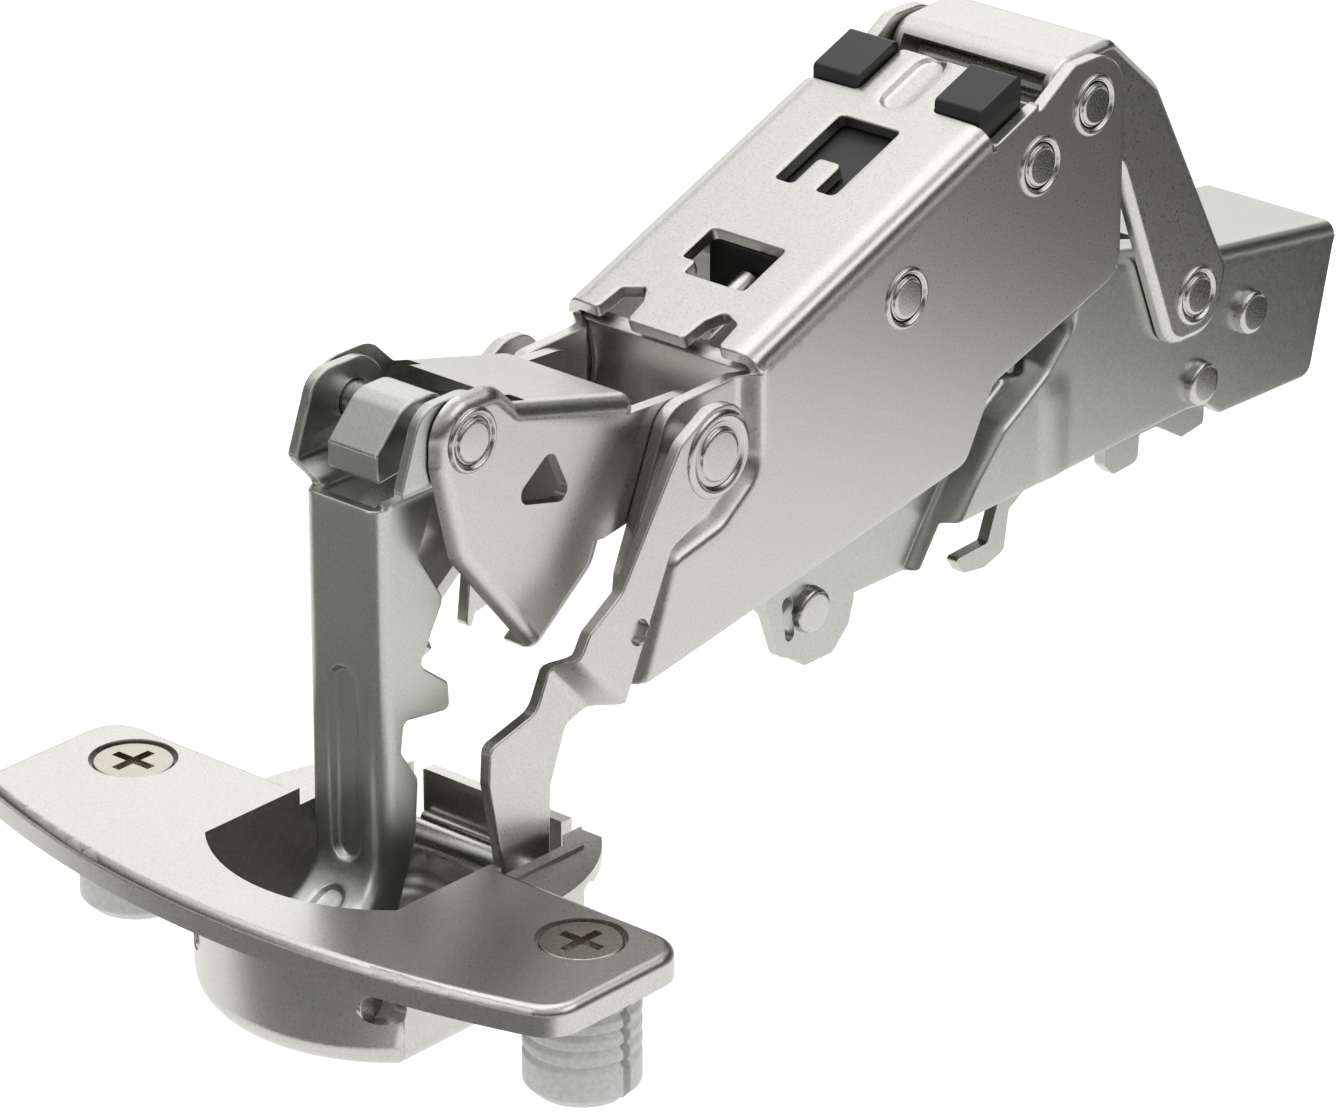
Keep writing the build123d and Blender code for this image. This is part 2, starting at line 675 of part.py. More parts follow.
def make_cup():
    """Cup and flange, drawn as one sheet, with the box-shaped tray open to the rear."""
    half = FLANGE_HALF_LENGTH
    corners = [
        (FLANGE_REAR_X, -half, 0),
        (FLANGE_REAR_X, half, 0),
        (FLANGE_END_FRONT_X, half, 0),
        (FLANGE_END_FRONT_X, -half, 0),
    ]
    edge_lines = [
        Line(corners[3], corners[0]),
        Line(corners[0], corners[1]),
        Line(corners[1], corners[2]),
        ThreePointArc(corners[2], (FLANGE_FRONT_X, 0, 0), corners[3]),
    ]
    shape = fillet(make_face(edge_lines).vertices(), FLANGE_CORNER_RADIUS)
    flange = extrude(shape, FLANGE_HEIGHT)
    flange = fillet(flange.faces().sort_by(Axis.Z)[-1].edges(), FLANGE_EDGE_RADIUS)
    under = extrude(offset(shape, -CUP_SHEET), FLANGE_HEIGHT - CUP_SHEET)
    flange -= under
    pan = cup_pan(CUP_RADIUS, TRAY_REAR_X, TRAY_HALF_WIDTH + CUP_SHEET, -CUP_DEPTH)
    room = cup_pan(CUP_RADIUS - CUP_SHEET, TRAY_REAR_X - CUP_SHEET, TRAY_HALF_WIDTH,
                   CUP_SHEET - CUP_DEPTH)
    pan -= Pos(20 + FLANGE_REAR_X, 0, 10 + FLANGE_HEIGHT - TRAY_LOWERING) * Box(40, 60, 20)
    # Flat lips beside the tray fill the round hole in the door.
    lip_length = LIP_REAR_X - FLANGE_REAR_X + CUP_SHEET
    lip = Pos(LIP_REAR_X - lip_length / 2, 0, 0) * Box(lip_length, 2 * CUP_RADIUS, CUP_SHEET)
    lip &= Cylinder(CUP_RADIUS, CUP_SHEET)
    pan += Pos(0, 0, LIP_TOP - CUP_SHEET / 2) * lip
    cup = flange + pan - room
    for sign in (-1, 1):
        seat = Pos(SCREW_X, sign * SCREW_SPACING / 2, FLANGE_HEIGHT - SCREW_SINK)
        cup -= seat * Cylinder(SCREW_HEAD_RADIUS + 0.35, 2 * SCREW_SINK)
        bore = Pos(SCREW_X, sign * SCREW_SPACING / 2, FLANGE_HEIGHT / 2)
        cup -= bore * Cylinder(SCREW_NECK_RADIUS + PLATE_GAP, FLANGE_HEIGHT + 2)
        foot_slot = Pos(TRAY_REAR_X - 1.0, sign * (MAIN_FOOT_HALF - LINK_SHEET / 2), -1.5)
        cup -= foot_slot * Box(7.0, LINK_SHEET + 2 * PLATE_GAP + 0.2, 9.0)
    cup -= hole(CUP_FRONT_PIVOT, FRONT_PIN_RADIUS)
    cup -= hole(CUP_REAR_PIVOT, PIVOT_PIN_RADIUS)
    return cup


def cup_pan(radius, rear_x, half_width, bottom_z):
    """Round pan cut to a box at its sides and rear, up to the top of the flange."""
    height = FLANGE_HEIGHT - bottom_z
    round_part = Cylinder(radius, height)
    box = Pos((rear_x - 30) / 2, 0, 0) * Box(rear_x + 30, 2 * half_width, height)
    rear_edges = box.edges().filter_by(Axis.Z).group_by(Axis.X)[-1]
    box = chamfer(rear_edges, TRAY_CHAMFER)
    pan = round_part & box
    lower_edges = pan.faces().sort_by(Axis.Z)[0].edges()
    pan = fillet(lower_edges, 2.5)
    return Pos(0, 0, bottom_z + height / 2) * pan


def make_dowel(sign):
    """Ringed press-in dowel under one end of the flange, slit along its length."""
    groove = DOWEL_RING_DEPTH
    rings = int((DOWEL_LENGTH - 2.5) / DOWEL_RING_PITCH)
    profile = [(0, FLANGE_HEIGHT - CUP_SHEET), (DOWEL_NECK_RADIUS, FLANGE_HEIGHT - CUP_SHEET)]
    profile += [(DOWEL_NECK_RADIUS, 0), (DOWEL_RADIUS, 0)]
    for ring in range(rings):
        start = -0.7 - ring * DOWEL_RING_PITCH
        profile += [
            (DOWEL_RADIUS, start),
            (DOWEL_RADIUS - groove, start - 0.25),
            (DOWEL_RADIUS - groove, start - 0.5),
            (DOWEL_RADIUS, start - 0.75),
        ]
    profile += [
        (DOWEL_RADIUS, -DOWEL_LENGTH + 1.0),
        (DOWEL_RADIUS - 1.0, -DOWEL_LENGTH),
        (0, -DOWEL_LENGTH),
    ]
    face = make_face(Polyline(*[(r, z, 0) for r, z in profile], close=True))
    dowel = revolve(Plane.XZ * face, Axis.Z)
    bore = Pos(0, 0, FLANGE_HEIGHT - CUP_SHEET - DOWEL_BORE_DEPTH / 2)
    dowel -= bore * Cylinder(SCREW_SHANK_RADIUS + RUNNING_CLEARANCE, DOWEL_BORE_DEPTH)
    slit_width = DOWEL_RADIUS - DOWEL_CORE_RADIUS + 1.0
    slit = Pos(0, sign * (DOWEL_CORE_RADIUS + slit_width / 2), -DOWEL_LENGTH / 2)
    dowel -= slit * Box(DOWEL_SLIT, slit_width, DOWEL_LENGTH)
    return Pos(SCREW_X, sign * SCREW_SPACING / 2, 0) * dowel


def make_screw(sign):
    """Cross-recess screw sunk in one end of the flange."""
    seat_z = FLANGE_HEIGHT - 2 * SCREW_SINK
    head = Pos(0, 0, seat_z + 0.25) * Cylinder(SCREW_HEAD_RADIUS, 0.5)
    head = fillet(head.faces().sort_by(Axis.Z)[-1].edges(), 0.2)
    neck_height = seat_z - (FLANGE_HEIGHT - CUP_SHEET)
    neck = Pos(0, 0, seat_z - neck_height / 2) * Cylinder(SCREW_NECK_RADIUS, neck_height)
    shank = Pos(0, 0, FLANGE_HEIGHT - CUP_SHEET - DOWEL_BORE_DEPTH / 2)
    screw = head + neck + shank * Cylinder(SCREW_SHANK_RADIUS, DOWEL_BORE_DEPTH)
    for angle in (0, 90):
        screw -= Pos(0, 0, seat_z + 0.5) * Rot(0, 0, angle) * Box(4.4, 0.9, 1.6)
    return Pos(SCREW_X, sign * SCREW_SPACING / 2, 0) * screw


def make_rear_box():
    """Liner inside the rear of the base: two side plates joined by a rear wall."""
    inner = RAIL_INNER_HALF - PLATE_GAP
    side = plate(
        [
            (104.8, 24.6, 0.3),
            (119.2, 22.2, 0.3),
            (116.6, 10.6, 0.5),
            (104.8, 10.6, 0.5),
        ],
        inner - BASE_SHEET,
        inner,
    )
    wall = plate(
        [
            (120.2, 22.0, 0.3),
            (117.4, 10.6, 0.3),
            (116.2, 10.6, 0.3),
            (118.9, 22.0, 0.3),
        ],
        -inner,
        inner,
    )
    box = wall + both_sides(side)
    return box - hole(BASE_RIVETS[0], PIVOT_PIN_RADIUS)


def make_front_catch():
    """Catch under the front of the base: two plates with a window, on the catch pin."""
    x, z = CATCH_PIVOT
    side = plate(
        [
            (x - 6.4, z + 3.6, 0.8),
            (x + 3.2, z + 4.2, 1.5),
            (x + 6.4, z - 0.8, 1.0),
            (x + 5.6, z - 3.4, 0.8),
            (x + 3.4, z - 5.4, 0.8),
            (x - 0.4, z - 5.4, 0.8),
            (x - 2.0, z - 4.2, 0.6),
            (x - 3.8, z - 3.4, 0.8),
        ],
        FRONT_BASE_HALF + PLATE_GAP,
        FRONT_BASE_HALF + PLATE_GAP + BASE_SHEET,
    )
    window = plate(
        [
            (x - 3.6, z + 2.0, 0.6),
            (x - 2.2, z + 2.0, 0.6),
            (x - 1.8, z - 2.4, 0.6),
            (x - 3.0, z - 2.2, 0.6),
        ],
        0,
        ARM_HALF_WIDTH,
    )
    bridge = plate(
        [
            (x + 4.2, z - 4.4, 0.2),
            (x + 5.2, z - 4.0, 0.2),
            (x + 5.8, z - 2.4, 0.2),
            (x + 4.8, z - 2.4, 0.2),
        ],
        -FRONT_BASE_HALF - PLATE_GAP,
        FRONT_BASE_HALF + PLATE_GAP,
    )
    return both_sides(side - window - hole(CATCH_PIVOT, PIVOT_PIN_RADIUS)) + bridge


def make_rear_catch():
    """Release slide inside the rear of the base, with a hooked foot and a short foot."""
    outer = RAIL_INNER_HALF - PLATE_GAP
    side = plate(
        [
            (74.0, 14.6, 1.0),
            (94.6, 14.6, 1.5),
            (96.6, 16.9, 1.0),
            (103.0, 16.9, 0.8),
            (103.0, 8.8, 0.5),
            (99.7, 8.4, 0.4),
            (95.8, 10.7, 0.5),
            (93.2, 10.7, 0.3),
            (93.0, 8.1, 0.8),
            (89.4, 7.9, 0.8),
            (88.0, 9.2, 0.5),
            (88.0, 11.6, 0.5),
            (78.0, 11.6, 0.5),
            (74.0, 9.4, 0.5),
            (73.4, 5.6, 0.8),
            (70.6, 4.8, 0.5),
            (67.6, 5.2, 0.8),
            (66.4, 6.9, 0.3),
            (71.0, 7.1, 0.3),
        ],
        outer - BASE_SHEET,
        outer,
    )
    bridge = plate(
        [(76.0, 13.0, 0.3), (86.0, 13.0, 0.3), (86.0, 11.8, 0.3), (76.0, 11.8, 0.3)],
        -outer + 0.4,
        outer - 0.4,
    )
    slide = both_sides(side) + bridge
    rivet_x, rivet_z = BASE_RIVETS[1]
    slot_radius = PIVOT_PIN_RADIUS + RUNNING_CLEARANCE
    for shift in (0, SLIDE_TRAVEL):
        slide -= hole((rivet_x - shift, rivet_z), slot_radius)
    middle = Pos(rivet_x - SLIDE_TRAVEL / 2, 0, rivet_z)
    return slide - middle * Box(SLIDE_TRAVEL, 2 * BASE_HALF_WIDTH, 2 * slot_radius)


def make_damper_housing():
    """Plastic body of the soft-close damper in the arm, with two pads at the rear corners."""
    drop = ARM_SHEET / cos(radians(ARM_SLOPE)) + PLATE_GAP
    half = ARM_INNER_HALF - PLATE_GAP
    body = plate(
        [
            (DAMPER_FRONT_X, arm_top(DAMPER_FRONT_X) - drop, 0.5),
            (DAMPER_REAR_X, arm_top(DAMPER_REAR_X) - drop, 0.3),
            (DAMPER_REAR_X, arm_top(DAMPER_REAR_X) - drop - DAMPER_DEPTH, 1.0),
            (DAMPER_FRONT_X, arm_top(DAMPER_FRONT_X) - drop - DAMPER_DEPTH, 1.0),
        ],
        -DAMPER_HALF_WIDTH,
        DAMPER_HALF_WIDTH,
    )
    shelf_front = DAMPER_REAR_X - 2.0
    shelf = plate(
        [
            (shelf_front, arm_top(shelf_front) - drop, 0.2),
            (SHELF_REAR_X, arm_top(SHELF_REAR_X) - drop, 0.2),
            (SHELF_REAR_X, arm_top(SHELF_REAR_X) - drop - SHELF_DEPTH, 0.4),
            (shelf_front, arm_top(shelf_front) - drop - SHELF_DEPTH, 0.4),
        ],
        -half,
        half,
    )
    pad = plate(
        [
            (PAD_FRONT_X, arm_top(PAD_FRONT_X) - drop - 1.0, 0.2),
            (PAD_FRONT_X, arm_top(PAD_FRONT_X) + PAD_HEIGHT, 0.5),
            (PAD_REAR_X, arm_top(PAD_REAR_X) + PAD_HEIGHT, 0.5),
            (PAD_REAR_X, arm_top(PAD_REAR_X) - drop - 1.0, 0.2),
        ],
        PAD_INNER_Y,
        half,
    )
    housing = body + shelf + both_sides(pad)
    return housing - hole(ARM_RIVET, PIVOT_PIN_RADIUS)


def make_damper_rod():
    """Piston rod out of the front of the damper, along the arm's slope."""
    length = 7.0
    start = (DAMPER_FRONT_X - 0.2, arm_top(DAMPER_FRONT_X) - 4.2)
    place = Pos(start[0] - length / 2, 0, start[1] - length / 2 * tan(radians(ARM_SLOPE)))
    return place * Rot(0, 90 - ARM_SLOPE, 0) * Cylinder(1.2, length)


def make_closing_spring():
    """Round wire of the closing spring, lying against the tray's rear wall."""
    rear_wall = TRAY_REAR_X - CUP_SHEET
    centre = (rear_wall - SPRING_WIRE_RADIUS, SPRING_Z)
    return disc(centre, SPRING_WIRE_RADIUS, -SPRING_HALF_LENGTH, SPRING_HALF_LENGTH)


def write(name, solid):
    """Write one sub-part to its own file."""
    export_step(solid, f"parts/{name}.step")


def main():
    """Write every sub-part to its own file."""
    os.makedirs("parts", exist_ok=True)
    write("cup", make_cup())
    for side, sign in (("right", -1), ("left", 1)):
        write(f"dowel_{side}", make_dowel(sign))
        write(f"flange_screw_{side}", make_screw(sign))
        write(f"knee_pin_{side}", make_knee_pin_end(sign))
        link = make_main_link()
        write(f"main_link_{side}", link if sign > 0 else mirror(link, about=Plane.XZ))
    write("cup_pin_front", plain_pin(CUP_FRONT_PIVOT, FRONT_PIN_HALF_LENGTH, FRONT_PIN_RADIUS))
    write("cup_pin_rear", make_cup_pin_rear())
    write("front_link", make_front_link())
    write("knee_rod", make_knee_rod())
    write("knee_block", make_knee_block())
    write("knee_link", make_knee_link())
    write("arm", make_arm())
    write("arm_front_pin", headed_pin(ARM_FRONT_PIVOT, MAIN_LINK_HALF, LARGE_HEAD_RADIUS,
                                      LARGE_RING_RADIUS))
    for name, centre in (("arm_rear_pin", ARM_REAR_PIVOT), ("arm_inner_pin", ARM_INNER_PIVOT),
                         ("arm_rivet", ARM_RIVET)):
        write(name, headed_pin(centre, ARM_HALF_WIDTH, SMALL_HEAD_RADIUS, SMALL_RING_RADIUS))
    write("rear_link", make_rear_link())
    write("rear_link_pin", headed_pin(BASE_REAR_PIVOT, REAR_LINK_HALF, SMALL_HEAD_RADIUS,
                                      SMALL_RING_RADIUS))
    write("inner_link", make_inner_link())
    write("inner_link_pin", plain_pin(BASE_INNER_PIVOT, BASE_HALF_WIDTH))
    write("base_rail", make_base_rail())
    write("rear_box", make_rear_box())
    write("rear_catch", make_rear_catch())
    write("front_catch", make_front_catch())
    catch_half = FRONT_BASE_HALF + PLATE_GAP + BASE_SHEET
    write("front_catch_pin", raised_rivet(CATCH_PIVOT, catch_half))
    rivets = [raised_rivet(centre, BASE_HALF_WIDTH) for centre in BASE_RIVETS]
    write("base_rivets", rivets[0] + rivets[1])
    write("damper_housing", make_damper_housing())
    write("damper_rod", make_damper_rod())
    write("closing_spring", make_closing_spring())


main()
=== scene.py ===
"""The looks of a wide-angle concealed cup hinge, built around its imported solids.

The part's own frame: X back along the arm, Y along the pins, Z up from the door face.
Sizes are written in millimetres and become metres where a mesh is made.
"""

import json

import bmesh
import bpy
import numpy as np
from mathutils import Matrix, Vector
from mathutils.geometry import delaunay_2d_cdt


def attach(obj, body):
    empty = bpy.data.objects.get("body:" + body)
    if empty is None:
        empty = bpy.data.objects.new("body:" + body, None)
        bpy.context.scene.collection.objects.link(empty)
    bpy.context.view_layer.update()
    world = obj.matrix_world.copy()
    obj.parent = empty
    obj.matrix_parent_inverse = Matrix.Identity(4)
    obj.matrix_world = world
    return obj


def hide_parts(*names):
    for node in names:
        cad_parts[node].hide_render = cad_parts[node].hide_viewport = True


MM = 0.001

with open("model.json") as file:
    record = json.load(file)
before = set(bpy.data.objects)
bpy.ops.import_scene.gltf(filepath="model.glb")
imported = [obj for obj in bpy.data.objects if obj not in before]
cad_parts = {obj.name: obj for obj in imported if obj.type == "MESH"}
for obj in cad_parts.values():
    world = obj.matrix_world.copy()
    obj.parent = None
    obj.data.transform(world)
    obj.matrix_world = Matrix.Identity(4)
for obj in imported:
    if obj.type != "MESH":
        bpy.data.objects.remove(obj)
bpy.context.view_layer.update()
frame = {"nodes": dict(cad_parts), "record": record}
NODES = frame["nodes"]
BODY_OF = {node: body for body, nodes in frame["record"]["behaviour"]["bodies"].items() for node in nodes}
SLOT_OF = {row["node"]: row["material_slot"] for row in frame["record"]["subparts"]}


# Materials
# A noise mostly stays inside this range. The grain shades the colour and the roughness by it.
NOISE_RANGE = {"From Min": 0.3, "From Max": 0.7}
SPECKLE = {"To Min": 0.88, "To Max": 1.06}
ROUGHNESS_SPREAD = 0.03


def linear(hex_colour):
    """Turns an sRGB hex colour into linear red, green, blue and full alpha."""
    srgb = np.array([int(hex_colour[i:i + 2], 16) for i in (1, 3, 5)]) / 255
    low = srgb / 12.92
    high = ((srgb + 0.055) / 1.055) ** 2.4
    return [*np.where(srgb <= 0.04045, low, high), 1.0]


def add(tree, kind, settings=None, links=None):
    """Adds one node, sets its inputs or properties by name, and links other outputs to its inputs."""
    node = tree.nodes.new(kind)
    for key, value in (settings or {}).items():
        if key in node.inputs:
            node.inputs[key].default_value = value
        else:
            setattr(node, key, value)
    for key, output in (links or {}).items():
        tree.links.new(output, node.inputs[key])
    return node


def emptied(owner):
    """The node tree of a material or of the world, without its first nodes."""
    owner.use_nodes = True
    owner.node_tree.nodes.clear()
    return owner.node_tree


def grained(name, colour, dark, metallic, roughness, grain_mm, grain_depth, patch_mm):
    """A surface with fine grain in its relief and gloss, and soft patches in its colour.

    The grain's size and depth and the patches' size are in millimetres."""
    material = bpy.data.materials.new(name)
    tree = emptied(material)
    place = add(tree, "ShaderNodeTexCoord").outputs["Object"]
    grain = add(tree, "ShaderNodeTexNoise", {"Scale": 1 / (grain_mm * MM), "Detail": 2.0}, {"Vector": place})
    patch = add(tree, "ShaderNodeTexNoise", {"Scale": 1 / (patch_mm * MM), "Detail": 3.0}, {"Vector": place})
    tint = add(tree, "ShaderNodeMix", {"data_type": "RGBA"}, {"Factor": patch.outputs["Fac"]})
    # The sixth and seventh inputs are the two colours that this node mixes.
    tint.inputs[6].default_value = linear(colour)
    tint.inputs[7].default_value = linear(dark)
    speckle = add(tree, "ShaderNodeMapRange", {**NOISE_RANGE, **SPECKLE}, {"Value": grain.outputs["Fac"]})
    shade = add(tree, "ShaderNodeVectorMath", {"operation": "SCALE"},
                {"Vector": tint.outputs[2], "Scale": speckle.outputs[0]})
    spread = {"To Min": roughness - ROUGHNESS_SPREAD, "To Max": roughness + ROUGHNESS_SPREAD}
    gloss = add(tree, "ShaderNodeMapRange", {**NOISE_RANGE, **spread}, {"Value": grain.outputs["Fac"]})
    relief = add(tree, "ShaderNodeBump", {"Strength": 1.0, "Distance": grain_depth * MM},
                 {"Height": grain.outputs["Fac"]})
    shader = add(tree, "ShaderNodeBsdfPrincipled", {"Metallic": metallic},
                 {"Base Color": shade.outputs[0], "Roughness": gloss.outputs[0], "Normal": relief.outputs[0]})
    add(tree, "ShaderNodeOutputMaterial", None, {"Surface": shader.outputs[0]})
    return material


# Nickel plate on blanked and folded steel: satin, a little warm, with the fine grain of the sheet.
NICKEL = grained("nickel_plated_sheet_steel", "#CAC8C3", "#C4C2BC", 1.0, 0.3, 0.22, 0.0016, 22.0)
# Zinc plate on the inner links: greyer and a little green.
ZINC = grained("zinc_plated_sheet_steel", "#C2C4BB", "#BABCB4", 1.0, 0.32, 0.22, 0.0016, 18.0)
# Turned steel pins, brighter and smoother than the sheet.
PIN = grained("bright_turned_steel", "#C6C4BF", "#BEBCB7", 1.0, 0.26, 0.18, 0.001, 9.0)
# Nickel-plated screws.
SCREW = grained("nickel_plated_screw_steel", "#BDB9AD", "#B4B0A4", 1.0, 0.26, 0.2, 0.0015, 9.0)
# White nylon, moulded, with a soft sheen.
NYLON = grained("white_moulded_nylon", "#F8F8F6", "#F2F2F0", 0.0, 0.42, 0.5, 0.004, 4.0)
# Dark grey acetal of the damper, moulded with a fine spark-eroded texture.
ACETAL = grained("dark_grey_moulded_acetal", "#1E1E1E", "#191919", 0.0, 0.42, 0.3, 0.01, 3.0)

FINISH = {"nickel_sheet": NICKEL, "zinc_sheet": ZINC, "pin_steel": PIN, "screw_steel": SCREW,
          "white_nylon": NYLON, "grey_plastic": ACETAL}


# Meshes, in millimetres until they are finished
# Arcs are cut into pieces of this share of the step.
ARC_SHARE = 0.6
# Ends of a run closer than this are one place.
SAME_PLACE = 0.0001
# A sheet's cut edges are rounded by this radius, at these angles round the quarter circle.
EDGE_ROLL = 0.18
ROLL_ANGLES = np.radians((0, 30, 60, 90))
# Beside a fold the rounding of a cut edge fades out over this length.
FOLD_FADE = 0.7
# Guide points keep this far from the rounding's last row, and the grid this share of the step from them.
GUIDE_GAP = 0.15
GRID_SHARE = 0.6
# At a sharp corner the rounding's rows go in no further than this lets them.
MITRE_LIMIT = 0.6
# The triangulation takes points closer than this for one.
SAME_POINT = 0.000001
# Distances are worked out for about this many points at a time.
BATCH = 1500
# Points closer than these are merged, in new sheets and in copies of the solids.
SHEET_MERGE = 0.004
SOLID_MERGE = 0.002
# Faces of a solid within this many degrees of each other are one flat face.
FLAT_ANGLE = 0.12


def rounded(corners, step=0.5, closed=True):
    """Outline: each (x, z, radius) corner becomes an arc that touches both of its runs.

    The runs between the arcs are divided so that no piece is longer than the step. An open
    outline's two ends have no radius."""
    corner = np.array(corners, float)
    place, radius = corner[:, :2], corner[:, 2]
    before = np.roll(place, 1, axis=0) - place
    after = np.roll(place, -1, axis=0) - place
    before /= np.linalg.norm(before, axis=1)[:, None]
    after /= np.linalg.norm(after, axis=1)[:, None]
    half = np.arccos(np.clip((before * after).sum(1), -1, 1)) / 2
    reach = radius / np.tan(half)
    loop = []
    for i in range(len(corner)):
        if radius[i] == 0:
            loop.append(place[i][None])
            continue
        start, end = place[i] + before[i] * reach[i], place[i] + after[i] * reach[i]
        middle = before[i] + after[i]
        centre = place[i] + middle / np.linalg.norm(middle) * radius[i] / np.sin(half[i])
        first, last = start - centre, end - centre
        turn = np.arctan2(first[0] * last[1] - first[1] * last[0], first @ last)
        count = max(2, int(abs(turn) * radius[i] / (ARC_SHARE * step)) + 2)
        angle = np.linspace(0, turn, count)[:, None]
        side = np.array([-first[1], first[0]])
        loop.append(centre + first * np.cos(angle) + side * np.sin(angle))
    return divided(np.vstack(loop), step, closed)


def divided(points, step, closed):
    """The same line with every run cut into equal lengths no longer than the step."""
    ends = np.vstack([points, points[:1]]) if closed else points
    parts = []
    for a, b in zip(ends[:-1], ends[1:]):
        length = np.linalg.norm(b - a)
        if length < SAME_PLACE:
            continue
        count = max(1, int(np.ceil(length / step)))
        parts.append(a + (b - a) * (np.arange(count) / count)[:, None])
    if not closed:
        parts.append(points[-1:])
    return np.vstack(parts)


def within(points, loops):
    """True where a point is inside an odd number of the loops, counted along a ray to +X."""
    inside = np.zeros(len(points), bool)
    for loop in loops:
        a, b = loop, np.roll(loop, -1, axis=0)
        z = points[:, 1][:, None]
        spans = (a[:, 1] > z) != (b[:, 1] > z)
        rise = np.where(b[:, 1] == a[:, 1], 1.0, b[:, 1] - a[:, 1])
        cross = a[:, 0] + (z - a[:, 1]) / rise * (b[:, 0] - a[:, 0])
        inside ^= ((spans & (points[:, 0][:, None] < cross)).sum(1) % 2).astype(bool)
    return inside


def distance(points, line):
    """Signed distance to an open line of points, positive on its left side."""
    a, b = line[:-1], line[1:]
    run = b - a
    size = (run ** 2).sum(1)
    offset = points[:, None] - a
    share = np.clip((offset * run).sum(2) / size, 0, 1)
    gap = offset - share[..., None] * run
    length = np.linalg.norm(gap, axis=2)
    nearest = length.argmin(1)
    row = np.arange(len(points))
    side = run[nearest, 0] * offset[row, nearest, 1] - run[nearest, 1] * offset[row, nearest, 0]
    return length[row, nearest] * np.sign(side)


def eased(value, width):
    """Rises from 0 to 1 over a width about zero, as 3 t squared less 2 t cubed, flat at both ends."""
    t = np.clip(value / width + 0.5, 0, 1)
    return t * t * (3 - 2 * t)


def rows_beside(line, reaches):
    """Rows of points at signed distances from an open line, to follow a crease closely."""
    run = np.gradient(line, axis=0)
    run /= np.linalg.norm(run, axis=1)[:, None]
    left = np.stack([-run[:, 1], run[:, 0]], 1)
    return np.vstack([line + reach * left for reach in reaches])


def blank(loops, step, guides=None, free=None):
    """Flat blank between an outer loop and its holes: a grid of points joined into triangles.

    Guide points take the place of the grid's points near them. Beside an edge are rows for its
    rounding of radius r: the row at an angle a is r * (1 - cos a) in from the edge and
    r * (1 - sin a) deep. free is 0 where the outer loop joins another part of the sheet, and 1
    elsewhere. Gives the points, the triangles, each point's depth, and whether it is on a join."""
    rows, depths, joins, links, first = [], [], [], [], 0
    for number, loop in enumerate(loops):
        run = np.roll(loop, -1, axis=0) - loop
        left = np.stack([-run[:, 1], run[:, 0]], 1) / np.linalg.norm(run, axis=1)[:, None]
        before = np.roll(left, 1, axis=0)
        inwards = (left + before) / np.maximum(1 + (left * before).sum(1), MITRE_LIMIT)[:, None]
        area = (loop[:, 0] * np.roll(loop[:, 1], -1) - np.roll(loop[:, 0], -1) * loop[:, 1]).sum()
        inwards *= np.sign(area) * (-1 if number else 1)
        share = free if number == 0 and free is not None else np.ones(len(loop))
        for angle in ROLL_ANGLES:
            rows.append(loop + (EDGE_ROLL * (1 - np.cos(angle)) * share)[:, None] * inwards)
            depths.append(EDGE_ROLL * (1 - np.sin(angle)) * share)
            joins.append(share == 0)
            index = first + np.arange(len(loop))
            links.append(np.stack([index, np.roll(index, -1)], 1))
            first += len(loop)
    low, high = loops[0].min(0), loops[0].max(0)
    grid = np.stack(np.meshgrid(np.arange(low[0] + step / 2, high[0], step),
                                np.arange(low[1] + step / 2, high[1], step)), -1).reshape(-1, 2)
    grid = clear_of(grid[within(grid, loops)], np.vstack(loops), EDGE_ROLL + 0.5 * step)
    if guides is not None:
        guides = clear_of(guides[within(guides, loops)], np.vstack(loops), EDGE_ROLL + GUIDE_GAP)
        grid = np.vstack([clear_of(grid, guides, GRID_SHARE * step), guides])
    points = [Vector(point) for point in np.vstack([*rows, grid])]
    found = delaunay_2d_cdt(points, np.vstack(links).tolist(), [], 1, SAME_POINT, True)
    flat = np.array([corner[:] for corner in found[0]])
    faces = np.array([face for face in found[2] if len(face) == 3])
    faces = faces[within(flat[faces].mean(1), loops)]
    depth = np.concatenate([*depths, np.zeros(len(grid))])
    join = np.concatenate([*joins, np.zeros(len(grid), bool)])
    source = np.array([given[0] if given else len(depth) - 1 for given in found[3]])
    return flat, faces, depth[source], join[source]


def clear_of(points, others, gap):
    """The points that are farther than a gap from all others."""
    kept = [part[np.linalg.norm(part[:, None] - others, axis=2).min(1) > gap]
            for part in np.array_split(points, max(1, len(points) // BATCH)) if len(part)]
    return np.vstack(kept) if kept else points[:0]


def sheet(shape, place, thickness, flip=False):
    """Both skins of a blank, placed by a function of its points and a depth, and the rim between them.

    The outer skin is at each point's own depth, and the inner skin at the thickness less that depth."""
    flat, faces, depth, join = shape
    faces = faces[:, ::-1] if flip else faces
    count = len(flat)
    edges = np.vstack([faces[:, [0, 1]], faces[:, [1, 2]], faces[:, [2, 0]]])
    lone = ~np.isin(edges[:, 0] * count + edges[:, 1], edges[:, 1] * count + edges[:, 0])
    rim = edges[lone & ~join[edges].all(1)]
    walls = np.stack([rim[:, 1], rim[:, 0], rim[:, 0] + count, rim[:, 1] + count], 1)
    points = np.vstack([place(flat, depth), place(flat, thickness - depth)])
    return points, [*faces.tolist(), *(faces[:, ::-1] + count).tolist(), *walls.tolist()]


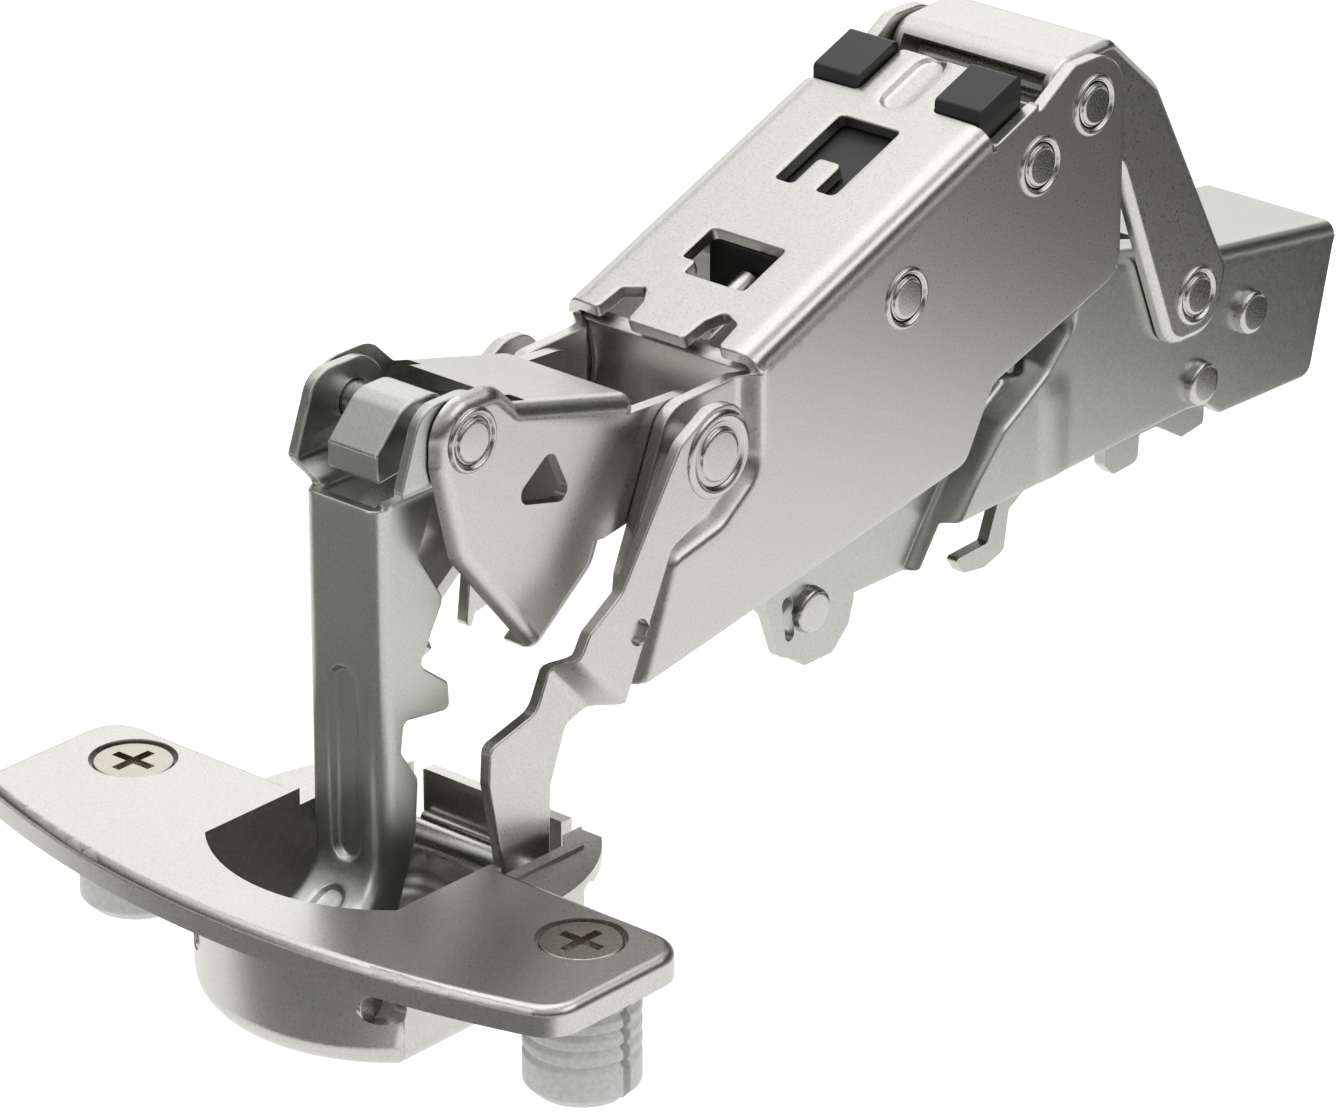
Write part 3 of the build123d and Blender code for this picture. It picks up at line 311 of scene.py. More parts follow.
def new_piece(name, points, faces, node, wall=0.0):
    """Puts points and faces into a piece that rides with a solid and has its finish.

    An open skin gets a wall's thickness inwards."""
    mesh = bpy.data.meshes.new(name)
    mesh.from_pydata(points.tolist(), [], faces)
    shape = bmesh.new()
    shape.from_mesh(mesh)
    bmesh.ops.remove_doubles(shape, verts=shape.verts, dist=SHEET_MERGE)
    shape.to_mesh(mesh)
    shape.free()
    mesh.materials.append(FINISH[SLOT_OF[node]])
    return finished(name, mesh, node, wall)


def finished(name, mesh, node, wall=0.0, width=0.0, angle=0.0):
    """Piece from a mesh in millimetres: its wall and its broken edges are made, and it becomes metres.

    Edges sharper than an angle in degrees are broken to a width. In metres they would be too
    small for that and get lost."""
    mesh.polygons.foreach_set("use_smooth", np.ones(len(mesh.polygons), bool))
    piece = bpy.data.objects.new(name, mesh)
    bpy.context.scene.collection.objects.link(piece)
    if wall:
        skin = piece.modifiers.new("wall", "SOLIDIFY")
        skin.thickness = wall
        skin.offset = -1.0
        skin.use_quality_normals = True
    if width:
        bevel = piece.modifiers.new("broken_edges", "BEVEL")
        bevel.width = width
        bevel.segments = 2
        bevel.limit_method = "ANGLE"
        bevel.angle_limit = np.radians(angle)
        bevel.loop_slide = False
        bevel.face_strength_mode = "FSTR_ALL"
    shading = piece.modifiers.new("flat_faces_stay_flat", "WEIGHTED_NORMAL")
    shading.mode = "FACE_AREA_WITH_ANGLE"
    shading.weight = 50
    shading.use_face_influence = width > 0
    view = bpy.context.evaluated_depsgraph_get()
    shape = bpy.data.meshes.new_from_object(piece.evaluated_get(view), preserve_all_data_layers=True,
                                            depsgraph=view)
    shape.transform(Matrix.Scale(MM, 4))
    piece.modifiers.clear()
    piece.data = shape
    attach(piece, BODY_OF[node])
    return piece


def joined(parts):
    """One array of points and one list of faces from several."""
    points, faces, first = [], [], 0
    for part_points, part_faces in parts:
        points.append(part_points)
        faces.extend([[corner + first for corner in face] for face in part_faces])
        first += len(part_points)
    return np.vstack(points), faces


def grid_faces(rows, columns, close=False):
    """Four-sided faces of a grid of points stored row by row."""
    index = np.arange(rows * columns).reshape(rows, columns)
    right = np.roll(index, -1, axis=1)[:, : columns if close else columns - 1]
    left = index[:, : columns if close else columns - 1]
    return np.stack([left[:-1], right[:-1], right[1:], left[1:]], -1).reshape(-1, 4).tolist()


def channel(line, rest, half, radius, thickness, step, windows=(), web_rise=None, web_guides=None, front=None,
            rear=None, side_windows=(), side_shift=None, side_guides=None):
    """Folded channel: a web along a line in X and Z, and a side plate down from each of its edges.

    The web's flat blank has a parameter u along the line and a parameter v across it. A point
    is line(u), plus its normal times the web's rise there, at the width v. Past the flat half
    width f, v wraps round a quarter circle of the fold's radius r: with a = (v - f) / r the width
    is f + r sin a and the point is r (1 - cos a) below the web. So it ends in the side's plane.
    The web's front and rear edges may be outlines of corners (along, across, radius) for one
    half, whose first corner only gives the place along. A side plate is the flat blank inside
    the web's edge line and the rest of its outline. side_shift gives how far a point of a side
    is pressed inwards, and web_rise how far a point of the web is pressed outwards."""
    line = divided(np.array(line, float), step, closed=False)
    run = np.gradient(line, axis=0)
    run /= np.linalg.norm(run, axis=1)[:, None]
    outward = np.stack([-run[:, 1], run[:, 0]], 1)
    along = np.concatenate([[0], np.cumsum(np.linalg.norm(np.diff(line, axis=0), axis=1))])
    flat_half = half - radius
    wide = flat_half + radius * np.pi / 2
    first, last = 0, len(along) - 1
    if front:
        first = int(np.abs(along - front[0][0]).argmin())
        front = [(along[first], wide, 0), *front[1:]]
    if rear:
        last = int(np.abs(along - rear[0][0]).argmin())
        rear = [(along[last], wide, 0), *rear[1:]]
    ends = []
    for corners, place in ((front, along[first]), (rear, along[last])):
        if corners:
            half_edge = rounded([*corners, (corners[-1][0], 0.0, 0)], step, closed=False)
        else:
            half_edge = divided(np.array([(place, wide), (place, 0.0)]), step, closed=False)
        ends.append(np.vstack([half_edge, (half_edge * (1, -1))[::-1][1:]]))
    kept = along[first:last + 1]
    edge = np.vstack([np.stack([kept, np.full(len(kept), -wide)], 1), ends[1][::-1][1:-1],
                      np.stack([kept, np.full(len(kept), wide)], 1)[::-1], ends[0][1:-1]])

    def place_web(flat, depth):
        at = np.stack([np.interp(flat[:, 0], along, line[:, i]) for i in (0, 1)], 1)
        out = np.stack([np.interp(flat[:, 0], along, outward[:, i]) for i in (0, 1)], 1)
        bend = np.clip((np.abs(flat[:, 1]) - flat_half) / radius, 0, np.pi / 2)
        rise = web_rise(flat) if web_rise else 0.0
        width = np.minimum(np.abs(flat[:, 1]), flat_half) + (radius - depth) * np.sin(bend)
        up = rise - radius + (radius - depth) * np.cos(bend)
        place = at + up[:, None] * out
        return np.stack([place[:, 0], np.sign(flat[:, 1]) * width, place[:, 1]], 1)

    free = np.clip((wide - np.abs(edge[:, 1])) / FOLD_FADE, 0, 1)
    parts = [sheet(blank([edge, *windows], step, web_guides, free), place_web, thickness)]
    edge_line = line - radius * outward
    open_line = divided(np.vstack([edge_line[-1:], rest, edge_line[:1]]), step, closed=False)[1:-1]
    beside = np.minimum(np.linalg.norm(open_line - edge_line[last], axis=1),
                        np.linalg.norm(open_line - edge_line[first], axis=1))
    past = np.maximum(along - along[last], along[first] - along)
    free = np.clip(np.concatenate([past, beside]) / FOLD_FADE, 0, 1)
    side = blank([np.vstack([edge_line, open_line]), *side_windows], step, side_guides, free)
    for sign in (-1, 1):
        def place_side(flat, depth, sign=sign):
            shift = side_shift(flat) if side_shift else 0.0
            return np.stack([flat[:, 0], sign * (half - shift - depth), flat[:, 1]], 1)

        parts.append(sheet(side, place_side, thickness, flip=sign > 0))
    return joined(parts)


def arc(centre, radius, start, end, count):
    """Points of an arc in X and Z, angles in degrees from +X towards +Z."""
    angle = np.radians(np.linspace(start, end, count))
    return np.stack([centre[0] + radius * np.cos(angle), centre[1] + radius * np.sin(angle)], 1)


def circle(centre, radius, count=28):
    """Closed circle in X and Z."""
    return arc(centre, radius, 0, 360 * (1 - 1 / count), count)


def beside_slot(points, middle, length, width):
    """Distance outside a slot in the web's middle line, less than 0 inside it.

    The slot is a line of the length less the width, with half the width all round."""
    off = np.maximum(np.abs(points[:, 0] - middle) - (length - width) / 2, 0)
    return np.hypot(off, points[:, 1]) - width / 2


def slot_press(points, slot, depth, edge):
    """Rise of a web with a slot pressed in: minus the depth inside it, eased at the slot's edge."""
    return -depth * eased(-beside_slot(points, *slot), edge)


def rows_round_slot(middle, length, width, reach, step=0.35):
    """Rows of points just inside and outside a slot's outline, for a crisp pressed edge."""
    run, radius = (length - width) / 2, width / 2
    ends = [arc((middle + run, 0), radius, -90, 90, 12), arc((middle - run, 0), radius, 90, 270, 12)]
    ring = divided(np.vstack([*ends, ends[0][:1]]), step, closed=False)[:-1]
    return rows_beside(ring, np.linspace(-reach, reach, 4))


# Sizes, most of them those of the solids
ARM_SLOPE = 20.6
ARM_TOP_POINT = (44.5, 42.1)
ARM_REAR_X = 71.0
ARM_FRONT_X = 33.0


def arm_top(x):
    """Height of the arm's top face."""
    return ARM_TOP_POINT[1] + (x - ARM_TOP_POINT[0]) * np.tan(np.radians(ARM_SLOPE))


def along_arm(x):
    """Distance along the arm's sloping top from its front edge to a place in X."""
    return (x - ARM_FRONT_X) / np.cos(np.radians(ARM_SLOPE))


# Half widths over the outer faces, sheet thicknesses, and the outer radii of the folds.
ARM_HALF = 11.0
MAIN_HALF = 12.35
BASE_HALF = 8.0
FRONT_LINK_HALF = 4.2
KNEE_PIN_HALF = 7.9
ARM_SHEET = 1.3
THIN_SHEET = 1.2
FRONT_LINK_SHEET = 1.1
ARM_FOLD = 2.0
BASE_FOLD = 1.3
FRONT_LINK_FOLD = 1.2
# How far the plates step in at a crease, and the width that the step takes.
ARM_STEP, ARM_CREASE = 1.75, 1.9
MAIN_STEP, MAIN_CREASE = 2.85, 2.0
BASE_STEP, BASE_CREASE = 2.8, 1.6
FRONT_EAR_STEP, FRONT_EAR_CREASE = 2.35, 2.0
FRONT_EAR_HEIGHT = 35.4
# The rib pressed outwards in each side of the base: place in X, half width, height and upper end.
RIB_X, RIB_HALF, RIB_HEIGHT = 78.6, 2.2, 0.14
RIB_TOP, RIB_FADE = 20.5, 3.0
ARM_FRONT_PIVOT = (27.2, 31.4)
CUP_FRONT_PIVOT = (-13.4, -6.1)
KNEE_PIVOT = (1.5, 39.6)
SHAFT_RADIUS = 1.7
APRON_RADIUS = 8.4
APRON_HALF = 9.6
# Pressed slots of the webs: middle along the web, length and width. Then their depths.
ARM_SLOT = (along_arm(67.5), 7.4, 3.0)
FRONT_GROOVE = (18.6, 17.6, 2.9)
FRONT_FOOT_SLOT = (4.6, 5.4, 2.6)
ARM_SLOT_DEPTH = 0.45
GROOVE_DEPTH = 0.5
FOOT_SLOT_DEPTH = 0.4


def make_arm():
    """Arm: one folded blank, its sides stepped inwards in front of a curved crease.

    The apron is part of a cylinder of radius r about the front pin: x is r cos a and z is
    r sin a from the pin, and y is its second parameter."""
    crease = rounded([(17.6, 9.0, 0), (21.4, 18.6, 1.5), (23.0, 22.9, 1.8), (29.2, 24.2, 3.0),
                      (34.0, 27.6, 3.5), (33.9, 41.0, 0)], 0.4, closed=False)

    def side_shift(points):
        return ARM_STEP * eased(distance(points, crease), ARM_CREASE)

    def web_rise(points):
        return slot_press(points, ARM_SLOT, ARM_SLOT_DEPTH, 0.5)

    rest = rounded([
        (ARM_REAR_X + 0.7, 49.4, 0), (76.5, 52.4, 1.5), (83.9, 52.4, 4.3), (83.9, 30.8, 3.0),
        (66.0, 25.4, 2.0), (62.3, 18.9, 2.0), (18.9, 12.1, 0.6), (17.5, 12.6, 0.6), (18.6, 22.0, 1.0),
        (24.4, 35.6, 3.0), (32.0, 35.8, 0)], 0.6, closed=False)
    front, nick, back = (along_arm(x) for x in (39.8, 41.4, 45.4))
    low = rounded([(front, -4.2, 0.4), (back, -4.2, 0.5), (back, 4.2, 0.5), (nick, 4.2, 0.4),
                   (nick, 2.6, 0.3), (front, 2.6, 0.4)])
    front, tongue, back = (along_arm(x) for x in (52.7, 56.3, 61.7))
    high = rounded([(front, -3.4, 0.5), (back, -3.4, 0.5), (back, 3.4, 0.5), (front, 3.4, 0.5),
                    (front, 1.3, 0.4), (tongue, 1.3, 0.5), (tongue, -1.3, 0.5), (front, -1.3, 0.4)])
    line = [(ARM_FRONT_X, arm_top(ARM_FRONT_X)), (ARM_REAR_X, arm_top(ARM_REAR_X))]
    bends = rows_beside(crease, np.linspace(-1.1, 1.1, 8))
    # The front edge has two notches beside its middle tab, and the rear corners are cut out for the pads.
    front_edge = [(0.3, 0, 0), (0.3, 6.9, 0.4), (3.4, 6.6, 0.5), (4.3, 4.5, 0.5), (2.6, 3.5, 0.4),
                  (0.0, 3.2, 0.4)]
    pads = along_arm(65.05)
    rear_edge = [(pads, 0, 0), (pads, 4.25, 0.5), (along_arm(ARM_REAR_X), 4.25, 0.6)]
    points, faces = channel(line, rest, ARM_HALF, ARM_FOLD, ARM_SHEET, 0.6, windows=[low, high],
                            web_rise=web_rise, web_guides=rows_round_slot(*ARM_SLOT, 0.3), front=front_edge,
                            rear=rear_edge, side_shift=side_shift, side_guides=bends)
    piece = new_piece("arm_folded_sheet", points, faces, "arm")
    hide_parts("arm")
    rows, columns = 40, 30
    radius = APRON_RADIUS + ARM_SHEET
    turn, width = np.meshgrid(np.radians(np.linspace(-30, 33, rows)),
                              np.linspace(-APRON_HALF, APRON_HALF, columns), indexing="ij")
    apron = np.stack([ARM_FRONT_PIVOT[0] + radius * np.cos(turn), width,
                      ARM_FRONT_PIVOT[1] + radius * np.sin(turn)], -1).reshape(-1, 3)
    new_piece("arm_apron", apron, grid_faces(rows, columns), "arm", ARM_SHEET)


def make_front_link():
    """Front link: a deep channel with two slots pressed in its web, and ears set outwards at the knee."""
    def side_shift(points):
        return -FRONT_EAR_STEP * eased(points[:, 1] - FRONT_EAR_HEIGHT, FRONT_EAR_CREASE)

    def web_rise(points):
        groove = slot_press(points, FRONT_GROOVE, GROOVE_DEPTH, 0.6)
        return groove + slot_press(points, FRONT_FOOT_SLOT, FOOT_SLOT_DEPTH, 0.5)

    rest = rounded([
        (-4.9, 34.4, 0), (-5.5, 36.6, 0.5), (-3.0, 43.3, 2.6), (5.2, 43.3, 3.6), (5.2, 35.9, 3.6),
        (0.6, 33.0, 1.5), (-1.2, 29.0, 1.0), (1.8, 24.2, 1.2), (-1.2, 19.0, 0.8), (2.2, 16.4, 0.6),
        (2.4, 13.8, 0.6), (-3.2, 14.6, 0.6), (-3.6, 11.8, 0.8), (-1.6, 8.8, 1.2), (-2.0, 3.6, 2.0),
        (-4.6, -3.4, 3.0), (-10.6, -8.3, 2.0), (-15.3, -8.3, 1.9), (-15.3, -5.3, 1.2),
        (-14.2, -4.7, 0)], 0.45, closed=False)[1:-1]
    line = rounded([(-13.9, -3.75, 0), (-6.2, -0.4, 4.5), (-6.2, 34.4, 0)], 0.45, closed=False)
    hole = circle(CUP_FRONT_PIVOT, 1.45)
    eye = circle(KNEE_PIVOT, 1.75)
    rows = np.vstack([rows_round_slot(*FRONT_GROOVE, 0.35), rows_round_slot(*FRONT_FOOT_SLOT, 0.3)])
    points, faces = channel(line, rest, FRONT_LINK_HALF, FRONT_LINK_FOLD, FRONT_LINK_SHEET, 0.45,
                            web_rise=web_rise, web_guides=rows, side_windows=[hole, eye],
                            side_shift=side_shift)
    piece = new_piece("front_link_folded_sheet", points, faces, "front_link")
    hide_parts("front_link")


def make_main_links():
    """Main links: blanks stepped inwards at a crease above the foot, with a hole.

    A point's y is the outer face less the step, eased over its distance from the crease, and less
    its depth in the sheet."""
    outline = rounded([
        (26.2, 35.7, 2.0), (30.4, 35.7, 3.2), (31.6, 29.4, 4.0), (26.0, 26.4, 1.5), (21.3, 24.6, 1.5),
        (15.4, 12.3, 0.4), (13.2, 11.6, 0.5), (11.0, 11.0, 1.0), (9.0, 6.0, 2.0), (8.9, 0.4, 1.5),
        (8.9, -4.3, 2.6), (3.3, -4.3, 2.6), (2.8, 1.4, 2.0), (1.4, 8.6, 0.8), (1.6, 12.0, 1.0),
        (7.4, 13.4, 2.0), (9.6, 18.0, 1.0), (11.0, 20.2, 0.8), (15.0, 22.6, 2.0), (22.6, 33.8, 3.0)], 0.45)
    crease = np.array([(7.4, 20.4), (9.9, 16.9), (13.6, 12.9), (16.6, 9.6)])
    hole = circle((17.2, 18.3), 1.1)
    bends = rows_beside(divided(crease, 0.4, closed=False), np.linspace(-1.2, 1.2, 9))
    plate = blank([outline, hole], 0.45, bends)
    for side, sign in (("right", -1), ("left", 1)):
        def place(flat, depth, sign=sign):
            shift = MAIN_STEP * eased(-distance(flat, crease), MAIN_CREASE)
            return np.stack([flat[:, 0], sign * (MAIN_HALF - shift - depth), flat[:, 1]], 1)

        points, faces = sheet(plate, place, THIN_SHEET, flip=sign > 0)
        piece = new_piece(f"main_link_{side}_plate", points, faces, f"main_link_{side}")
        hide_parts(f"main_link_{side}")


def make_base():
    """Base: a box with a folded top at the rear, stepped inwards along a wavy line in front."""
    crease = rounded([(61.0, 6.4, 0), (64.2, 10.9, 2.0), (67.5, 15.1, 2.0), (71.2, 18.9, 2.0),
                      (73.7, 20.3, 2.0), (77.5, 22.6, 2.5), (80.6, 25.6, 2.0), (81.8, 31.0, 0)],
                     0.4, closed=False)

    def side_shift(points):
        across_rib = np.clip((points[:, 0] - RIB_X) / RIB_HALF, -1, 1)
        rib = np.cos(across_rib * np.pi / 2) * eased(RIB_TOP - points[:, 1], RIB_FADE)
        return BASE_STEP * eased(distance(points, crease), BASE_CREASE) - RIB_HEIGHT * rib

    rest = rounded([
        (120.9, 22.8, 0), (117.6, 9.5, 1.5), (103.6, 9.9, 1.5), (101.4, 11.5, 1.5), (98.6, 11.9, 1.5),
        (64.4, 11.2, 0.5), (61.6, 7.3, 0.6), (52.0, 7.4, 0.5), (41.0, 9.0, 2.0), (42.0, 20.0, 3.0),
        (76.0, 21.8, 1.0), (81.0, 26.6, 2.0), (87.3, 29.8, 0)], 0.5, closed=False)
    line = rounded([(87.5, 30.9, 0), (92.2, 29.8, 4.0), (103.2, 26.6, 6.0), (121.0, 24.0, 0)], 0.5,
                   closed=False)
    # The web is open in front for the inner link.
    front_edge = [(0.0, 0, 0), (0.0, 4.3, 0.5), (8.8, 4.3, 1.0)]
    bends = rows_beside(crease, np.linspace(-1.0, 1.0, 8))
    points, faces = channel(line, rest, BASE_HALF, BASE_FOLD, THIN_SHEET, 0.5, front=front_edge,
                            side_shift=side_shift, side_guides=bends)
    piece = new_piece("base_folded_sheet", points, faces, "base_rail")
    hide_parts("base_rail")


def lathe(profile, centre, sign, count=48):
    """Surface turned about a pin's axis: each (radius, y) of a profile is carried round a circle.

    At the turn a, x is the radius times cos a and z the radius times sin a from the centre. The
    profile runs from the axis outwards, and its y is measured away from the hinge's middle."""
    radius, height = np.array(profile, float).T[:, :, None]
    turn = np.linspace(0, 2 * np.pi, count, endpoint=False)
    points = np.stack([centre[0] + radius * np.cos(turn), sign * height + 0 * turn,
                       centre[1] + radius * np.sin(turn)], -1).reshape(-1, 3)
    faces = [face[::-sign] for face in grid_faces(len(radius), count, close=True)]
    return points, faces


# Ends of the pins, as (radius, height over the plate), from the middle outwards.
FLUSH_END = ((0.0, 0.0), (1.5, 0.0), (SHAFT_RADIUS, -0.2))
RINGED_END = ((0.0, 0.36), (1.5, 0.36), (1.72, 0.33), (1.86, 0.22), (1.9, 0.06), (2.02, 0.0), (2.2, 0.0),
              (2.3, 0.08), (2.42, 0.26), (2.56, 0.33), (2.72, 0.26), (2.86, 0.08), (2.9, -0.05),
              (SHAFT_RADIUS, -0.4))
LARGE_END = ((0.0, 0.36), (1.95, 0.36), (2.2, 0.33), (2.34, 0.2), (2.4, 0.04), (2.55, -0.02), (2.8, -0.02),
             (2.95, 0.08), (3.15, 0.26), (3.4, 0.34), (3.68, 0.28), (3.9, 0.1), (3.98, -0.05),
             (SHAFT_RADIUS, -0.4))
RAISED_END = ((0.0, 1.0), (1.5, 1.0), (1.78, 0.96), (1.98, 0.84), (2.08, 0.64), (2.1, 0.12), (2.16, 0.02),
              (2.16, -0.1), (SHAFT_RADIUS, -0.3))


def pin_halves(end, centre, half):
    """Both halves of a pin, each turned from its end at a plate down to the hinge's middle."""
    profile = [(radius, half + height) for radius, height in end] + [(SHAFT_RADIUS, 0.0)]
    return [lathe(profile, centre, sign) for sign in (-1, 1)]


def make_pins():
    """Riveted pins: shafts with ringed or raised ends in the planes of their outer plates."""
    rows = [("arm_front_pin", LARGE_END, ARM_FRONT_PIVOT, MAIN_HALF),
            ("arm_rear_pin", RINGED_END, (79.5, 48.0), ARM_HALF),
            ("arm_inner_pin", RINGED_END, (71.9, 44.4), ARM_HALF),
            ("arm_rivet", RINGED_END, (53.6, 37.3), ARM_HALF),
            ("rear_link_pin", RINGED_END, (97.4, 24.1), 9.55),
            ("front_catch_pin", RAISED_END, (46.0, 9.0), 6.55),
            ("inner_link_pin", FLUSH_END, (87.9, 19.6), 7.3)]
    for name, end, centre, half in rows:
        pin = new_piece(name + "_turned", *joined(pin_halves(end, centre, half)), name)
        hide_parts(name)
    halves = [pin_halves(RAISED_END, centre, BASE_HALF) for centre in ((107.4, 19.1), (100.1, 14.2))]
    rivets = new_piece("base_rivets_turned", *joined(sum(halves, [])), "base_rivets")
    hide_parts("base_rivets")
    inner = KNEE_PIN_HALF - THIN_SHEET
    profile = [(radius, KNEE_PIN_HALF + height) for radius, height in RINGED_END]
    profile += [(SHAFT_RADIUS, inner), (0.0, inner)]
    for side, sign in (("right", -1), ("left", 1)):
        pin = new_piece(f"knee_pin_{side}_turned", *lathe(profile, KNEE_PIVOT, sign), f"knee_pin_{side}")
        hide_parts(f"knee_pin_{side}")


def merged_copy(name, width, angle):
    """A copy of a solid with its doubles merged, its flat faces joined and its edges broken."""
    mesh = NODES[name].data.copy()
    mesh.transform(Matrix.Scale(1 / MM, 4))
    shape = bmesh.new()
    shape.from_mesh(mesh)
    bmesh.ops.remove_doubles(shape, verts=shape.verts, dist=SOLID_MERGE)
    bmesh.ops.dissolve_limit(shape, angle_limit=np.radians(FLAT_ANGLE), verts=shape.verts, edges=shape.edges)
    shape.to_mesh(mesh)
    shape.free()
    mesh.materials.clear()
    mesh.materials.append(FINISH[SLOT_OF[name]])
    piece = finished(name + "_finished", mesh, name, width=width, angle=angle)
    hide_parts(name)


# Camera, lamps and floor, in metres
def make_camera():
    """Camera with its right, up and view directions written out, at the photograph's angle."""
    camera = bpy.data.objects.new("camera", bpy.data.cameras.new("camera"))
    bpy.context.scene.collection.objects.link(camera)
    camera.data.lens = 194.4
    camera.data.sensor_width = 36.0
    camera.data.clip_start = 0.05
    camera.data.clip_end = 20.0
    right = (0.66029, -0.75101, 0.0)
    up = (0.303654, 0.266974, 0.914614)
    back = (-0.686885, -0.603911, 0.404328)
    place = (-0.398351, -0.381037, 0.270854)
    camera.matrix_world = Matrix([(right[i], up[i], back[i], place[i]) for i in range(3)] + [(0, 0, 0, 1)])
    bpy.context.scene.camera = camera


def facing(place, target):
    """Matrix of a lamp or card at a place that faces a target: its Z axis points away from it."""
    back = np.array(place, float) - np.array(target, float)
    back /= np.linalg.norm(back)
    steep = abs(back[2]) >= 0.95
    right = np.cross((0, 1, 0) if steep else (0, 0, 1), back)
    right /= np.linalg.norm(right)
    up = np.cross(back, right)
    return Matrix([(right[i], up[i], back[i], place[i]) for i in range(3)] + [(0, 0, 0, 1)])


def area_light(name, place, target, size, power):
    """Soft white lamp at a place, facing a target."""
    data = bpy.data.lights.new(name, "AREA")
    data.shape = "RECTANGLE"
    data.size, data.size_y = size
    data.energy = power
    lamp = bpy.data.objects.new(name, data)
    bpy.context.scene.collection.objects.link(lamp)
    lamp.matrix_world = facing(place, target)


def floor_paint(shade, glow):
    """Matt paint that looks white to the camera and in reflections, and keeps the part's shadow."""
    paint = bpy.data.materials.new("white_studio_floor")
    tree = emptied(paint)
    matt = add(tree, "ShaderNodeBsdfDiffuse", {"Color": linear(shade)})
    rays = add(tree, "ShaderNodeLightPath").outputs
    either = rays["Is Camera Ray"]
    for kind in ("Is Glossy Ray", "Is Transmission Ray"):
        larger = add(tree, "ShaderNodeMath", {"operation": "MAXIMUM"})
        tree.links.new(either, larger.inputs[0])
        tree.links.new(rays[kind], larger.inputs[1])
        either = larger.outputs[0]
    strength = add(tree, "ShaderNodeMath", {"operation": "MULTIPLY"})
    strength.inputs[1].default_value = glow
    tree.links.new(either, strength.inputs[0])
    lift = add(tree, "ShaderNodeEmission", {"Color": linear("#FFFFFF")}, {"Strength": strength.outputs[0]})
    both = add(tree, "ShaderNodeAddShader")
    tree.links.new(matt.outputs[0], both.inputs[0])
    tree.links.new(lift.outputs[0], both.inputs[1])
    add(tree, "ShaderNodeOutputMaterial", None, {"Surface": both.outputs[0]})
    return paint


def card_cloth(name, shade):
    """Dark cloth that only reflections show."""
    cloth = bpy.data.materials.new(name)
    tree = emptied(cloth)
    rays = add(tree, "ShaderNodeLightPath")
    clear = add(tree, "ShaderNodeBsdfTransparent")
    dark = add(tree, "ShaderNodeEmission", {"Color": linear(shade), "Strength": 1.0})
    choice = add(tree, "ShaderNodeMixShader", None, {"Fac": rays.outputs["Is Glossy Ray"]})
    tree.links.new(clear.outputs[0], choice.inputs[1])
    tree.links.new(dark.outputs[0], choice.inputs[2])
    add(tree, "ShaderNodeOutputMaterial", None, {"Surface": choice.outputs[0]})
    return cloth


def panel(name, size, matrix, paint):
    """Flat rectangle of the studio, moved to its place by a matrix."""
    x, y = size[0] / 2, size[1] / 2
    mesh = bpy.data.meshes.new(name)
    mesh.from_pydata([(-x, -y, 0), (x, -y, 0), (x, y, 0), (-x, y, 0)], [], [(0, 1, 2, 3)])
    mesh.transform(matrix)
    mesh.materials.append(paint)
    rectangle = bpy.data.objects.new(name, mesh)
    bpy.context.scene.collection.objects.link(rectangle)
    return rectangle


def dark_card(name, place, target, size, shade):
    """Dark card facing a target, as stands beside a metal object in a studio."""
    card = panel(name, size, facing(place, target), card_cloth(name + "_cloth", shade))


def make_sky():
    """Pale sky that is darker near the horizon, and white to the camera."""
    world = bpy.data.worlds.new("studio")
    bpy.context.scene.world = world
    tree = emptied(world)
    direction = add(tree, "ShaderNodeTexCoord").outputs["Generated"]
    height = add(tree, "ShaderNodeSeparateXYZ", None, {"Vector": direction}).outputs["Z"]
    share = add(tree, "ShaderNodeMapRange", {"From Min": -1.0, "From Max": 1.0}, {"Value": height}).outputs[0]
    ramp = add(tree, "ShaderNodeValToRGB", None, {"Fac": share})
    stops = ramp.color_ramp.elements
    stops[0].position = 0.47
    stops[0].color = linear("#2A2A2A")
    stops[1].position = 0.86
    stops[1].color = linear("#F0F0F0")
    middle = stops.new(0.62)
    middle.color = linear("#3A3A3A")
    rays = add(tree, "ShaderNodeLightPath")
    sky = add(tree, "ShaderNodeBackground", {"Strength": 0.8}, {"Color": ramp.outputs[0]})
    white = add(tree, "ShaderNodeBackground", {"Strength": 1.0, "Color": linear("#FFFFFF")})
    choice = add(tree, "ShaderNodeMixShader", None, {"Fac": rays.outputs["Is Camera Ray"]})
    tree.links.new(sky.outputs[0], choice.inputs[1])
    tree.links.new(white.outputs[0], choice.inputs[2])
    add(tree, "ShaderNodeOutputWorld", None, {"Surface": choice.outputs[0]})


